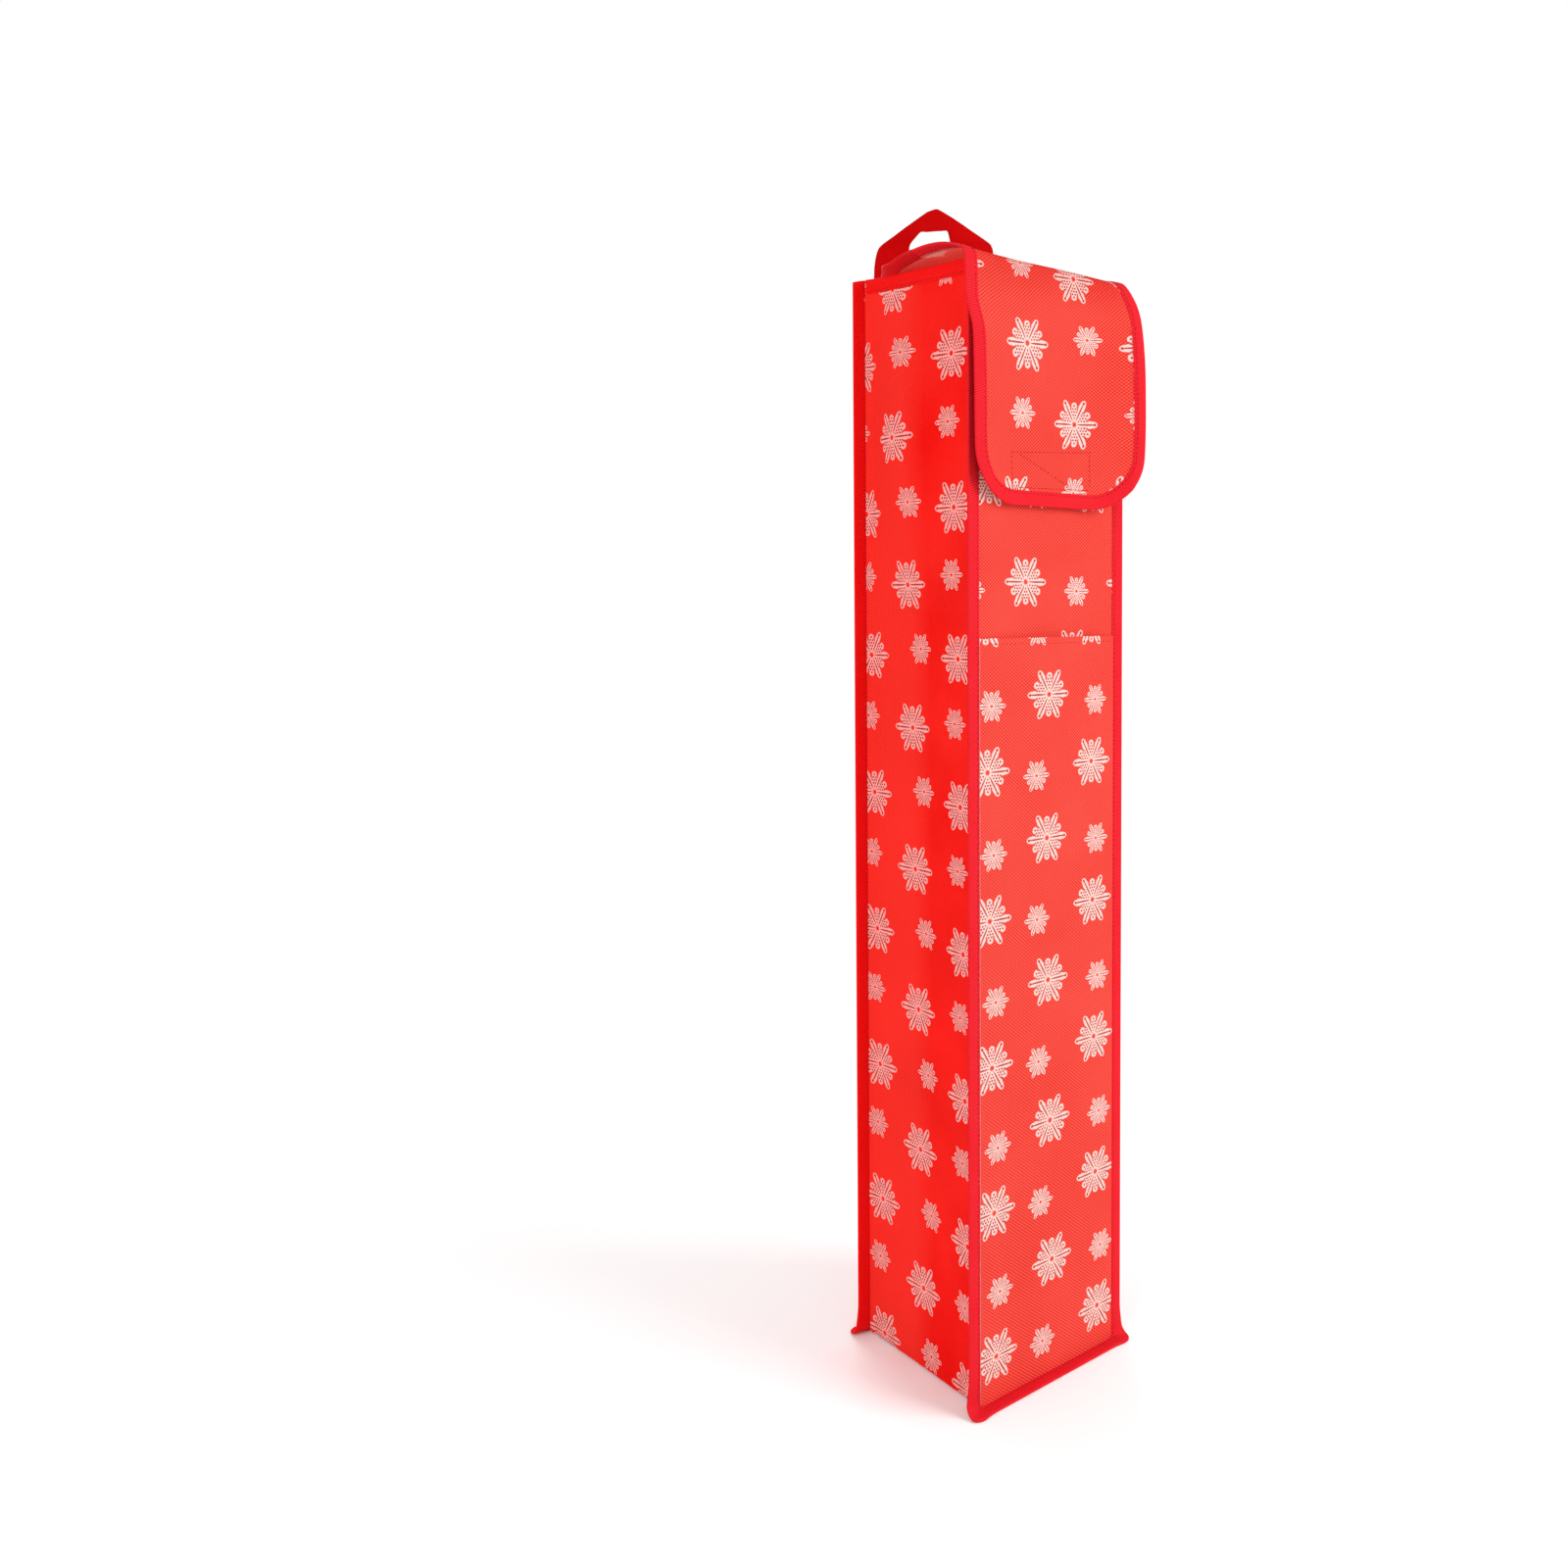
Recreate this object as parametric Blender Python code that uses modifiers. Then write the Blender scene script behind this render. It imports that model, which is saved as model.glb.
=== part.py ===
"""A gift wrap organizer: a tall square bag of fabric that stands on end.

Its back panel runs on over the mouth as a flap, which hangs down the front and fastens there
with a hook strip and a loop strip. The front has a pocket for cards, and a webbing handle is
sewn to the top of the back. Folded tape binds every seam and edge.

Metres, +Z up. The origin is the middle of the bag's underside and the front faces -Y, so the
left of the bag, seen from the front, is at -X.
"""

import math

import bpy
from mathutils import Vector

# The bag's body
BODY_WIDTH = 0.148
BODY_DEPTH = 0.148
BODY_HEIGHT = 0.900
FABRIC = 0.0015
CLEARANCE = 0.0003
BACK_RISE = 0.0025

# The binding tape, folded over an edge
TAPE = 0.001
TAPE_WIDTH = 0.012
FOLDED_TAPE = 0.0027

# How far each standing seam turns out of its panel's plane, in degrees
FRONT_LEFT_SPLAY = 6.0
FRONT_RIGHT_SPLAY = 0.0
BACK_SPLAY = 20.0

# The pocket, whose mouth is a drop below the bag's
POCKET_DROP = 0.2885
POCKET_GAPE = 0.010
GAPE_DEPTH = 0.180

# The flap
COVER_HEIGHT = 0.0045
COVER_CROWN = 0.005
EDGE_CROWN = 0.0135
CROWN_POWER = 6
CROWN_SKEW = 1.35
FLAP_DROP = 0.1845
FLAP_CORNER = 0.044
FOLD_STANDOFF = 0.0025
FLAP_SETTLE = 0.035
CURL_START = 0.030
LEFT_CURL = 0.005
RIGHT_CURL = 0.021
FOLD_DEPTH = 0.0011

# The fastening strips
STRIP_WIDTH = 0.095
STRIP = 0.0015
HOOK_HEIGHT = 0.042
HOOK_DROP = 0.1445
LOOP_HEIGHT = 0.038

# The handle
WEBBING = 0.0022
WEBBING_WIDTH = 0.038
HANDLE_RISE = 0.0805
HANDLE_CREST = 0.0065
LEFT_REACH = 0.062
LEFT_SHOULDER = 0.037
RIGHT_REACH = 0.074
RIGHT_SHOULDER = 0.0605
HAND_GAP_LEFT = 0.0255
HAND_GAP_RIGHT = 0.036
HAND_GAP_RISE = 0.061
SEWN_LENGTH = 0.044
SEWN_RISE = 0.0065
SEWN_THICKNESS = 0.002
HANDLE_LEAN = 1.0
HANDLE_BEND = 0.006

# Worked out from the sizes above
HALF_WIDTH = BODY_WIDTH / 2
HALF_DEPTH = BODY_DEPTH / 2
INNER_DEPTH = HALF_DEPTH - FABRIC - CLEARANCE
POCKET_HEIGHT = BODY_HEIGHT - POCKET_DROP
BACK_TOP = BODY_HEIGHT + BACK_RISE
FLAP_HALF = HALF_WIDTH + TAPE_WIDTH
FLAP_CLOTH_HALF = FLAP_HALF - TAPE_WIDTH - CLEARANCE
COVER_LEVEL = BODY_HEIGHT + COVER_HEIGHT
FLAP_STANDOFF = 3 * CLEARANCE + 2 * STRIP + FABRIC / 2
BACK_FOLD = Vector((0, HALF_DEPTH - FABRIC / 2 - FOLD_DEPTH, COVER_LEVEL - FOLD_DEPTH))
FRONT_FOLD = Vector((0, -HALF_DEPTH - FOLD_STANDOFF + FOLD_DEPTH, COVER_LEVEL - FOLD_DEPTH))
COVER_BACK = BACK_FOLD.y + FOLD_DEPTH / 2
COVER_FRONT = FRONT_FOLD.y + FOLD_DEPTH
FLAP_TOP = FRONT_FOLD.z - CLEARANCE
FLAP_BOTTOM = BODY_HEIGHT - FLAP_DROP
FLAP_LENGTH = FLAP_TOP - FLAP_BOTTOM
HOOK_CENTRE = BODY_HEIGHT - HOOK_DROP
LOOP_CENTRE = FLAP_BOTTOM + TAPE_WIDTH + FABRIC + LOOP_HEIGHT / 2
SEWN_FACE = HALF_DEPTH + 2 * CLEARANCE
SEWN_TOP = BODY_HEIGHT + SEWN_RISE
HANDLE_FOLD = Vector((0, SEWN_FACE + SEWN_THICKNESS + CLEARANCE + WEBBING / 2, SEWN_TOP + TAPE))

# Counts of the steps along curved sheets
COVER_COLUMNS = 16
COVER_ROWS = 14
FLAP_COLUMNS = 20
FLAP_ROWS = 10
CORNER_STEPS = 6
SIDE_STEPS = 8
END_STEPS = 8
POCKET_COLUMNS = 16
POCKET_ROWS = 12
ROUNDING_STEPS = 4

# Colours, as red, green and blue light
CLOTH_RED = (0.88, 0.045, 0.03)
TAPE_RED = (0.80, 0.022, 0.055)
HOOK_RED = (0.62, 0.006, 0.012)
LOOP_RED = (0.85, 0.006, 0.028)
WEBBING_RED = (0.55, 0.002, 0.003)

COLLECTION_NAME = "gift_wrap_organizer"


def clear_scene():
    """Takes out whatever the file opened with."""
    for obj in list(bpy.data.objects):
        bpy.data.objects.remove(obj, do_unlink=True)


def make_collection():
    """The collection that holds every piece."""
    collection = bpy.data.collections.new(COLLECTION_NAME)
    bpy.context.scene.collection.children.link(collection)
    return collection


def make_material(name, colour, roughness):
    """A plain finish; every piece of the bag is cloth, so none is metallic."""
    material = bpy.data.materials.new(name)
    material.use_nodes = True
    shader = material.node_tree.nodes["Principled BSDF"]
    shader.inputs["Base Color"].default_value = (*colour, 1.0)
    shader.inputs["Roughness"].default_value = roughness
    shader.inputs["Metallic"].default_value = 0.0
    material.diffuse_color = (*colour, 1.0)
    return material


def make_axis(name, location, parent=None):
    """An empty on a fold line, which carries the pieces that turn with it."""
    axis = bpy.data.objects.new(name, None)
    COLLECTION.objects.link(axis)
    axis.empty_display_size = TAPE_WIDTH
    axis.parent = parent
    axis.location = Vector(location) - world_place(parent)
    return axis


def world_place(axis):
    """Where an axis empty stands; no axis is turned, so places only add up."""
    place = Vector((0, 0, 0))
    while axis is not None:
        place += axis.location
        axis = axis.parent
    return place


def finish_piece(obj, name, colour, roughness, parent):
    """Names a new piece, gives it its own finish and moves it to the collection."""
    obj.name = name
    obj.data.name = name
    obj.data.materials.clear()
    obj.data.materials.append(make_material(name, colour, roughness))
    for collection in list(obj.users_collection):
        collection.objects.unlink(obj)
    COLLECTION.objects.link(obj)
    obj.parent = parent
    return obj


def slab(name, low, high, colour, parent, roughness=0.85):
    """A flat panel or strip between two corners."""
    low, high = Vector(low), Vector(high)
    bpy.ops.mesh.primitive_cube_add(size=1)
    obj = bpy.context.object
    obj.scale = high - low
    bpy.ops.object.transform_apply(location=False, rotation=False, scale=True)
    obj.location = (low + high) / 2 - world_place(parent)
    return finish_piece(obj, name, colour, roughness, parent)


def sheet(name, surface, columns, rows, thickness, colour, parent, roughness=0.85):
    """Cloth of one thickness on a surface that maps the unit square to places in the world."""
    bpy.ops.mesh.primitive_grid_add(size=1, x_subdivisions=columns, y_subdivisions=rows)
    obj = bpy.context.object
    place = world_place(parent)
    for vertex in obj.data.vertices:
        across, along = vertex.co.x + 1 / 2, vertex.co.y + 1 / 2
        vertex.co = Vector(surface(across, along)) - place
    solidify = obj.modifiers.new("thickness", "SOLIDIFY")
    solidify.thickness = thickness
    solidify.offset = 0
    obj.location = (0, 0, 0)
    for polygon in obj.data.polygons:
        polygon.use_smooth = True
    return finish_piece(obj, name, colour, roughness, parent)


def plate(name, outline, thickness, colour, parent, location, rotation, roughness=0.85):
    """A flat outline of one thickness, drawn in its own XY plane and then turned into place."""
    curve = bpy.data.curves.new(name, "CURVE")
    curve.dimensions = "2D"
    curve.fill_mode = "BOTH"
    curve.extrude = thickness / 2
    spline = curve.splines.new("POLY")
    spline.points.add(len(outline) - 1)
    for point, (x, y) in zip(spline.points, outline):
        point.co = (x, y, 0, 1)
    spline.use_cyclic_u = True
    obj = bpy.data.objects.new(name, curve)
    COLLECTION.objects.link(obj)
    obj.location = Vector(location) - world_place(parent)
    obj.rotation_euler = rotation
    return finish_piece(obj, name, colour, roughness, parent)


def rounded(corners):
    """An outline's points, from its corners as (x, y, radius), each rounded by an arc."""
    points = []
    for index, (x, y, radius) in enumerate(corners):
        corner = Vector((x, y))
        before = Vector(corners[index - 1][:2]) - corner
        after = Vector(corners[(index + 1) % len(corners)][:2]) - corner
        if radius == 0:
            points.append((x, y))
            continue
        half = before.angle(after) / 2
        reach = radius / math.tan(half)
        middle = corner + (before.normalized() + after.normalized()).normalized() * radius / math.sin(half)
        start = corner + before.normalized() * reach - middle
        end = corner + after.normalized() * reach - middle
        turn = start.angle_signed(end)
        for step in range(ROUNDING_STEPS + 1):
            angle = -turn * step / ROUNDING_STEPS
            points.append(tuple(middle + Vector((
                start.x * math.cos(angle) - start.y * math.sin(angle),
                start.x * math.sin(angle) + start.y * math.cos(angle)))))
    return points


def smooth(value):
    """Rises from 0 to 1 without a kink at either end."""
    value = min(max(value, 0), 1)
    return value * value * (3 - 2 * value)


def make_body(parent):
    """The four walls and the bottom, with the back a little higher, where the flap starts."""
    slab("front_panel", (-HALF_WIDTH, -HALF_DEPTH, 0), (HALF_WIDTH, FABRIC - HALF_DEPTH, BODY_HEIGHT),
         CLOTH_RED, parent)
    slab("back_panel", (-HALF_WIDTH, HALF_DEPTH - FABRIC, 0), (HALF_WIDTH, HALF_DEPTH, BACK_TOP),
         CLOTH_RED, parent)
    base = FABRIC + CLEARANCE
    slab("left_side_panel", (-HALF_WIDTH, -INNER_DEPTH, base),
         (FABRIC - HALF_WIDTH, INNER_DEPTH, BODY_HEIGHT), CLOTH_RED, parent)
    slab("right_side_panel", (HALF_WIDTH - FABRIC, -INNER_DEPTH, base),
         (HALF_WIDTH, INNER_DEPTH, BODY_HEIGHT), CLOTH_RED, parent)
    slab("bottom_panel", (-HALF_WIDTH, -INNER_DEPTH, 0), (HALF_WIDTH, INNER_DEPTH, FABRIC),
         CLOTH_RED, parent)


def pocket_surface(across, along):
    """The pocket layer's middle: flat on the front panel, and gaping towards its mouth."""
    x = (2 * across - 1) * HALF_WIDTH
    z = POCKET_HEIGHT * (1 - (1 - along) ** 2)
    gape = POCKET_GAPE * math.cos(math.pi * (across - 1 / 2)) ** 2
    gape *= smooth(1 - (POCKET_HEIGHT - z) / GAPE_DEPTH)
    return x, -HALF_DEPTH - CLEARANCE - FABRIC / 2 - gape, z


def make_pocket(parent):
    """The second layer on the lower front, sewn in along both sides and the bottom."""
    sheet("pocket_panel", pocket_surface, POCKET_COLUMNS, POCKET_ROWS, FABRIC, CLOTH_RED, parent)


def standing_seam(name, side, face, splay, top, parent):
    """Tape on one of the four upright seams, standing out past the side panel."""
    turn = math.radians(splay)
    inner = CLEARANCE + FOLDED_TAPE / 2 * math.sin(turn)
    base = FOLDED_TAPE + CLEARANCE
    low = Vector((inner, -FOLDED_TAPE / 2, base))
    high = Vector((inner + TAPE_WIDTH, FOLDED_TAPE / 2, top))
    obj = slab(name, low, high, TAPE_RED, parent)
    middle = (low + high) / 2
    angle = turn * side * face if side > 0 else math.pi + turn * side * face
    corner = Vector((side * HALF_WIDTH, face * (HALF_DEPTH - FABRIC / 2), 0))
    obj.rotation_euler = (0, 0, angle)
    obj.location = corner + Vector((middle.x * math.cos(angle), middle.x * math.sin(angle), middle.z))
    obj.location -= world_place(parent)


def make_seam_tapes(parent):
    """The tapes on the upright seams and along the bottom of the front and the back."""
    front_top = BODY_HEIGHT - TAPE_WIDTH - CLEARANCE
    standing_seam("front_left_binding", -1, -1, FRONT_LEFT_SPLAY, front_top, parent)
    standing_seam("front_right_binding", 1, -1, FRONT_RIGHT_SPLAY, front_top, parent)
    standing_seam("back_left_binding", -1, 1, BACK_SPLAY, BACK_TOP, parent)
    standing_seam("back_right_binding", 1, 1, BACK_SPLAY, BACK_TOP, parent)
    reach = HALF_WIDTH + TAPE_WIDTH / 2
    front = -HALF_DEPTH - FABRIC - 2 * CLEARANCE
    slab("front_bottom_binding", (-reach, front - TAPE_WIDTH, 0), (reach, front, FOLDED_TAPE),
         TAPE_RED, parent)
    back = HALF_DEPTH + CLEARANCE
    slab("back_bottom_binding", (-reach, back, 0), (reach, back + TAPE_WIDTH, FOLDED_TAPE),
         TAPE_RED, parent)


def rim_tape(name, length, location, turn, parent):
    """Tape folded over the top edge of a wall: a channel that runs along its own Z."""
    wall = FABRIC / 2 + CLEARANCE
    outer = wall + TAPE
    top = CLEARANCE + TAPE
    outline = [(-outer, -TAPE_WIDTH), (-outer, top), (outer, top), (outer, -TAPE_WIDTH),
               (wall, -TAPE_WIDTH), (wall, CLEARANCE), (-wall, CLEARANCE), (-wall, -TAPE_WIDTH)]
    plate(name, outline, length, TAPE_RED, parent, location, (math.pi / 2, 0, turn))


def make_mouth_tapes(parent):
    """The tape round the mouth, on its front and both sides."""
    wall_y = HALF_DEPTH - FABRIC / 2
    wall_x = HALF_WIDTH - FABRIC / 2
    front_length = 2 * (HALF_WIDTH - FABRIC - TAPE - 2 * CLEARANCE)
    rim_tape("mouth_front_binding", front_length, (0, -wall_y, BODY_HEIGHT), math.pi / 2, parent)
    side_back = wall_y - FOLDED_TAPE / 2 - CLEARANCE
    side_length = side_back + INNER_DEPTH
    side_middle = (side_back - INNER_DEPTH) / 2
    rim_tape("mouth_left_binding", side_length, (-wall_x, side_middle, BODY_HEIGHT), 0, parent)
    rim_tape("mouth_right_binding", side_length, (wall_x, side_middle, BODY_HEIGHT), 0, parent)


def cover_surface(x, along):
    """The middle of the flap over the mouth: its taped edges arch higher than its centre."""
    y = COVER_BACK + (COVER_FRONT - COVER_BACK) * along
    edge_share = (abs(x) / FLAP_HALF) ** CROWN_POWER
    crown = COVER_CROWN + (EDGE_CROWN - COVER_CROWN) * edge_share
    return x, y, COVER_LEVEL + crown * math.sin(math.pi * along ** CROWN_SKEW)


def cover_tape(side, across, along):
    """The tape down one edge of the flap over the mouth."""
    return cover_surface(side * (FLAP_HALF - TAPE_WIDTH + TAPE_WIDTH * across), along)


def flap_surface(x, drop):
    """The middle of the hanging part, at a drop below its top: its edges curl off the front."""
    settled = 1 - math.exp(-drop / FLAP_SETTLE)
    right = max(0, (x - CURL_START) / (FLAP_HALF - CURL_START)) ** 2
    left = max(0, (-x - CURL_START) / (FLAP_HALF - CURL_START)) ** 2
    curl = RIGHT_CURL * right + LEFT_CURL * left
    standoff = FOLD_STANDOFF + (FLAP_STANDOFF - FOLD_STANDOFF + curl) * settled
    return x, -HALF_DEPTH - standoff, FLAP_TOP - drop


def flap_length_at(x, half, length, corner):
    """How far the hanging part reaches down at x, with its two lower corners rounded."""
    past = abs(x) - (half - corner)
    if past <= 0:
        return length
    return length - corner + math.sqrt(max(corner ** 2 - past ** 2, 0))


def flap_cloth(across, along):
    """The hanging cloth inside its tape; the columns crowd together at the rounded corners."""
    half, length = FLAP_CLOTH_HALF, FLAP_LENGTH - TAPE_WIDTH - CLEARANCE
    x = half * math.sin(math.pi / 2 * (2 * across - 1))
    corner = FLAP_CORNER - TAPE_WIDTH
    return flap_surface(x, along * flap_length_at(x, half, length, corner))


def edge_path(run, inset):
    """A place on the flap's outline, inset from its edge, with run from 0 to its step count."""
    half, length, corner = FLAP_HALF - inset, FLAP_LENGTH - inset, FLAP_CORNER - inset
    side = -1
    if run > SIDE_STEPS + CORNER_STEPS + 1 / 2:
        run, side = edge_steps() - run, 1
    if run <= SIDE_STEPS:
        return side * half, (length - corner) * run / SIDE_STEPS
    angle = math.pi / 2 * min(run - SIDE_STEPS, CORNER_STEPS) / CORNER_STEPS
    return side * (half - corner + corner * math.cos(angle)), length - corner + corner * math.sin(angle)


def edge_steps():
    """The steps along the flap's outline: two sides, two corners and the straight end."""
    return 2 * SIDE_STEPS + 2 * CORNER_STEPS + END_STEPS


def flap_tape(across, along):
    """The tape down both edges of the hanging part and round its end."""
    run = across * edge_steps()
    inset = TAPE_WIDTH * along
    first, last = SIDE_STEPS + CORNER_STEPS, SIDE_STEPS + CORNER_STEPS + END_STEPS
    if first < run < last:
        share = (run - first) / END_STEPS
        x = (FLAP_HALF - FLAP_CORNER) * (2 * share - 1)
        return flap_surface(x, FLAP_LENGTH - inset)
    return flap_surface(*edge_path(run, inset))


def make_flap(cover_axis, front_axis):
    """The flap in its two parts, which fold on the mouth's front edge, each with its tape."""
    half = FLAP_CLOTH_HALF
    sheet("flap_cover", lambda across, along: cover_surface((2 * across - 1) * half, along),
          COVER_COLUMNS, COVER_ROWS, FABRIC, CLOTH_RED, cover_axis)
    for name, side in (("flap_cover_left_binding", -1), ("flap_cover_right_binding", 1)):
        sheet(name, lambda across, along, side=side: cover_tape(side, across, along),
              2, COVER_ROWS, FOLDED_TAPE, TAPE_RED, cover_axis)
    sheet("flap_front", flap_cloth, FLAP_COLUMNS, FLAP_ROWS, FABRIC, CLOTH_RED, front_axis)
    sheet("flap_front_binding", flap_tape, edge_steps(), 2, FOLDED_TAPE, TAPE_RED, front_axis)


def loop_surface(across, along):
    """The loop strip's middle, against the inside of the hanging part."""
    x = (across - 1 / 2) * STRIP_WIDTH
    z = LOOP_CENTRE + (along - 1 / 2) * LOOP_HEIGHT
    x, y, z = flap_surface(x, FLAP_TOP - z)
    return x, y + FABRIC / 2 + CLEARANCE + STRIP / 2, z


def make_fastening(parent, front_axis):
    """The hook strip on the front panel and the loop strip inside the flap."""
    face = -HALF_DEPTH - CLEARANCE
    half_width, half_height = STRIP_WIDTH / 2, HOOK_HEIGHT / 2
    slab("hook_strip", (-half_width, face - STRIP, HOOK_CENTRE - half_height),
         (half_width, face, HOOK_CENTRE + half_height), HOOK_RED, parent, 0.7)
    sheet("loop_strip", loop_surface, FLAP_ROWS, 2, STRIP, LOOP_RED, front_axis, 0.9)


def handle_outline():
    """The strap from the back, in x and height above its fold: two legs under a bent grip."""
    foot = -FABRIC / 3
    bend = HANDLE_BEND
    crest_share, slant_share = 0.56, 0.42
    return rounded([
        (-LEFT_REACH, foot, 0),
        (-LEFT_REACH + bend / 2, LEFT_SHOULDER - bend / 2, bend),
        (-LEFT_REACH + bend, LEFT_SHOULDER, bend / 2),
        (HANDLE_CREST, HANDLE_RISE, bend / 2),
        (RIGHT_REACH - bend / 2, RIGHT_SHOULDER, bend),
        (RIGHT_REACH, foot, 0),
        (HAND_GAP_RIGHT, foot, 0),
        (HAND_GAP_RIGHT * crest_share, HAND_GAP_RISE + bend / 2, bend / 3),
        (-HAND_GAP_LEFT * slant_share, HAND_GAP_RISE - bend / 2, bend / 3),
        (-HAND_GAP_LEFT, LEFT_SHOULDER + bend, bend),
        (-HAND_GAP_LEFT - bend / 3, foot, 0),
    ])


def make_handle(parent, handle_axis):
    """The strap, which turns on the top of its sewn ends, and the two ends on the back panel."""
    lean = math.radians(HANDLE_LEAN)
    plate("handle_strap", handle_outline(), WEBBING, WEBBING_RED, handle_axis, HANDLE_FOLD,
          (math.pi / 2 - lean, 0, 0), 0.75)
    left_middle = (LEFT_REACH + HAND_GAP_LEFT) / 2
    right_middle = (RIGHT_REACH + HAND_GAP_RIGHT) / 2
    for name, x in (("handle_left_end", -left_middle), ("handle_right_end", right_middle)):
        slab(name, (x - WEBBING_WIDTH / 2, SEWN_FACE, SEWN_TOP - SEWN_LENGTH),
             (x + WEBBING_WIDTH / 2, SEWN_FACE + SEWN_THICKNESS, SEWN_TOP), WEBBING_RED, parent, 0.75)


clear_scene()
COLLECTION = make_collection()
bag = make_axis("bag", (0, 0, 0))
flap_cover_axis = make_axis("flap_cover_axis", BACK_FOLD, bag)
flap_front_axis = make_axis("flap_front_axis", FRONT_FOLD, flap_cover_axis)
handle_axis = make_axis("handle_axis", HANDLE_FOLD, bag)

make_body(bag)
make_pocket(bag)
make_seam_tapes(bag)
make_mouth_tapes(bag)
make_flap(flap_cover_axis, flap_front_axis)
make_fastening(bag, flap_front_axis)
make_handle(bag, handle_axis)
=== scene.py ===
"""The looks of the gift wrap organizer: printed cloth, ribbed binding tape, thread, fastening
strips and a webbing handle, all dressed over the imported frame. Metres, +Z up, front to -Y."""

import math

import bpy
from mathutils import Matrix, Vector, noise
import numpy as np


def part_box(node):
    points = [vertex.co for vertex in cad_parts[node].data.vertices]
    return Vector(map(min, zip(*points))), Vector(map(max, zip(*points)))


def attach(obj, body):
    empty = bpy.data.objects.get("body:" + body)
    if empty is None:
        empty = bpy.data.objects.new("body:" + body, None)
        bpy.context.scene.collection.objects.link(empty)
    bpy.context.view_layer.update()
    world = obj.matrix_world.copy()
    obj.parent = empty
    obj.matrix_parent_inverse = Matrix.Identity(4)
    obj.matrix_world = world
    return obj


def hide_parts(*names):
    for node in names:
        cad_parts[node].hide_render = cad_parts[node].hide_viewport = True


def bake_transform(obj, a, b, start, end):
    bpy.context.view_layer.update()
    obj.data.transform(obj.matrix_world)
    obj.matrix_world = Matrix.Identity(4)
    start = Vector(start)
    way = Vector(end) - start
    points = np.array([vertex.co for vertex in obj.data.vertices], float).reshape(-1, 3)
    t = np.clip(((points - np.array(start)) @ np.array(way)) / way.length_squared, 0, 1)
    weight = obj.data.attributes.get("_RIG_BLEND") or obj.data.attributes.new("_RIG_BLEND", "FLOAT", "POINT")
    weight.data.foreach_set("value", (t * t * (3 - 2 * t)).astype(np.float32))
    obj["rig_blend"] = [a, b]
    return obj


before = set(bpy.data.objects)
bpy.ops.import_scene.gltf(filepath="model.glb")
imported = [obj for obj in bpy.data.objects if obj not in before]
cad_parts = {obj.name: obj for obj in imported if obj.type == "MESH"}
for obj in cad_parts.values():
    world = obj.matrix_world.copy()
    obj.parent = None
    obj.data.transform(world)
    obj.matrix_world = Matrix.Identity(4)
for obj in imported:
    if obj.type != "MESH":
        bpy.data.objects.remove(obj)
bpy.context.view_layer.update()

# Sizes taken from the frame
hook_low, hook_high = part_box("hook_strip")
loop_low, loop_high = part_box("loop_strip")
left_end_low, left_end_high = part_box("handle_left_end")
right_end_low, right_end_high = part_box("handle_right_end")

HALF_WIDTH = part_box("front_panel")[1].x
HALF_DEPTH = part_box("back_panel")[1].y
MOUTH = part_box("front_panel")[1].z
POCKET_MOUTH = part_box("pocket_panel")[1].z
FLAP_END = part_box("flap_front_binding")[0].z
FRONT_SEAM_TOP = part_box("front_left_binding")[1].z

# Cloth and tape
CLOTH = 0.0007
TAPE = 0.0004
TAPE_WIDTH = 0.012
TAPE_HALF = 0.0011
PANEL_INSET = 0.0004
SIDE_INSET = 0.0001
FRONT_FACE = -HALF_DEPTH + PANEL_INSET
BACK_FACE = HALF_DEPTH - PANEL_INSET
SIDE_FACE = HALF_WIDTH - SIDE_INSET

# The steps between the rows of a cloth, of a tape, of a fastening strip and across a fold
CLOTH_STEP = 0.004
TAPE_STEP = 0.003
STRIP_STEP = 0.003
FOLD_STEP = 0.002

# The UV map that places the print; the first map follows the weave
PRINT_MAP = "print"

# Where each cloth's wander is read in the noise, and the size and reach of its waves
FRONT_LEVEL, FRONT_WAVES = 1.7, (0.09, 0.0009)
BACK_LEVEL, BACK_WAVES = 3.1, (0.11, 0.0009)
FLAP_LEVEL, FLAP_WAVES = 7.7, (0.06, 0.0011)
SIDE_LEVEL, SIDE_WAVES = 2.3, (0.08, 0.0014)
POCKET_LEVEL, POCKET_WAVES = 5.3, (0.10, 0.0010)
HOOK_LEVEL, HOOK_WAVES = 9.1, (0.02, 0.0001)


def smooth(value):
    """Rises from 0 to 1 without a kink at either end."""
    value = min(max(value, 0.0), 1.0)
    return value * value * (3 - 2 * value)


def ramp(value, start, full):
    """Rises smoothly from 0 at start to 1 at full, and full may be the lower of the two."""
    return smooth((value - start) / (full - start))


def near_middle(x):
    """From 1 on a panel's middle line to 0 at its side seams."""
    return math.cos(math.pi * min(abs(x) / HALF_WIDTH, 1) / 2)


def drift(x, y, z, size, reach):
    """A slow wander in a cloth, the same each run."""
    return noise.noise(Vector((x, y, z)) / size) * reach


def stops(start, end, step):
    """Even places from start to end, no further apart than step."""
    count = max(1, math.ceil(abs(end - start) / step))
    return [start + (end - start) * k / count for k in range(count + 1)]


PROFILE_STEPS = 12


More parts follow.
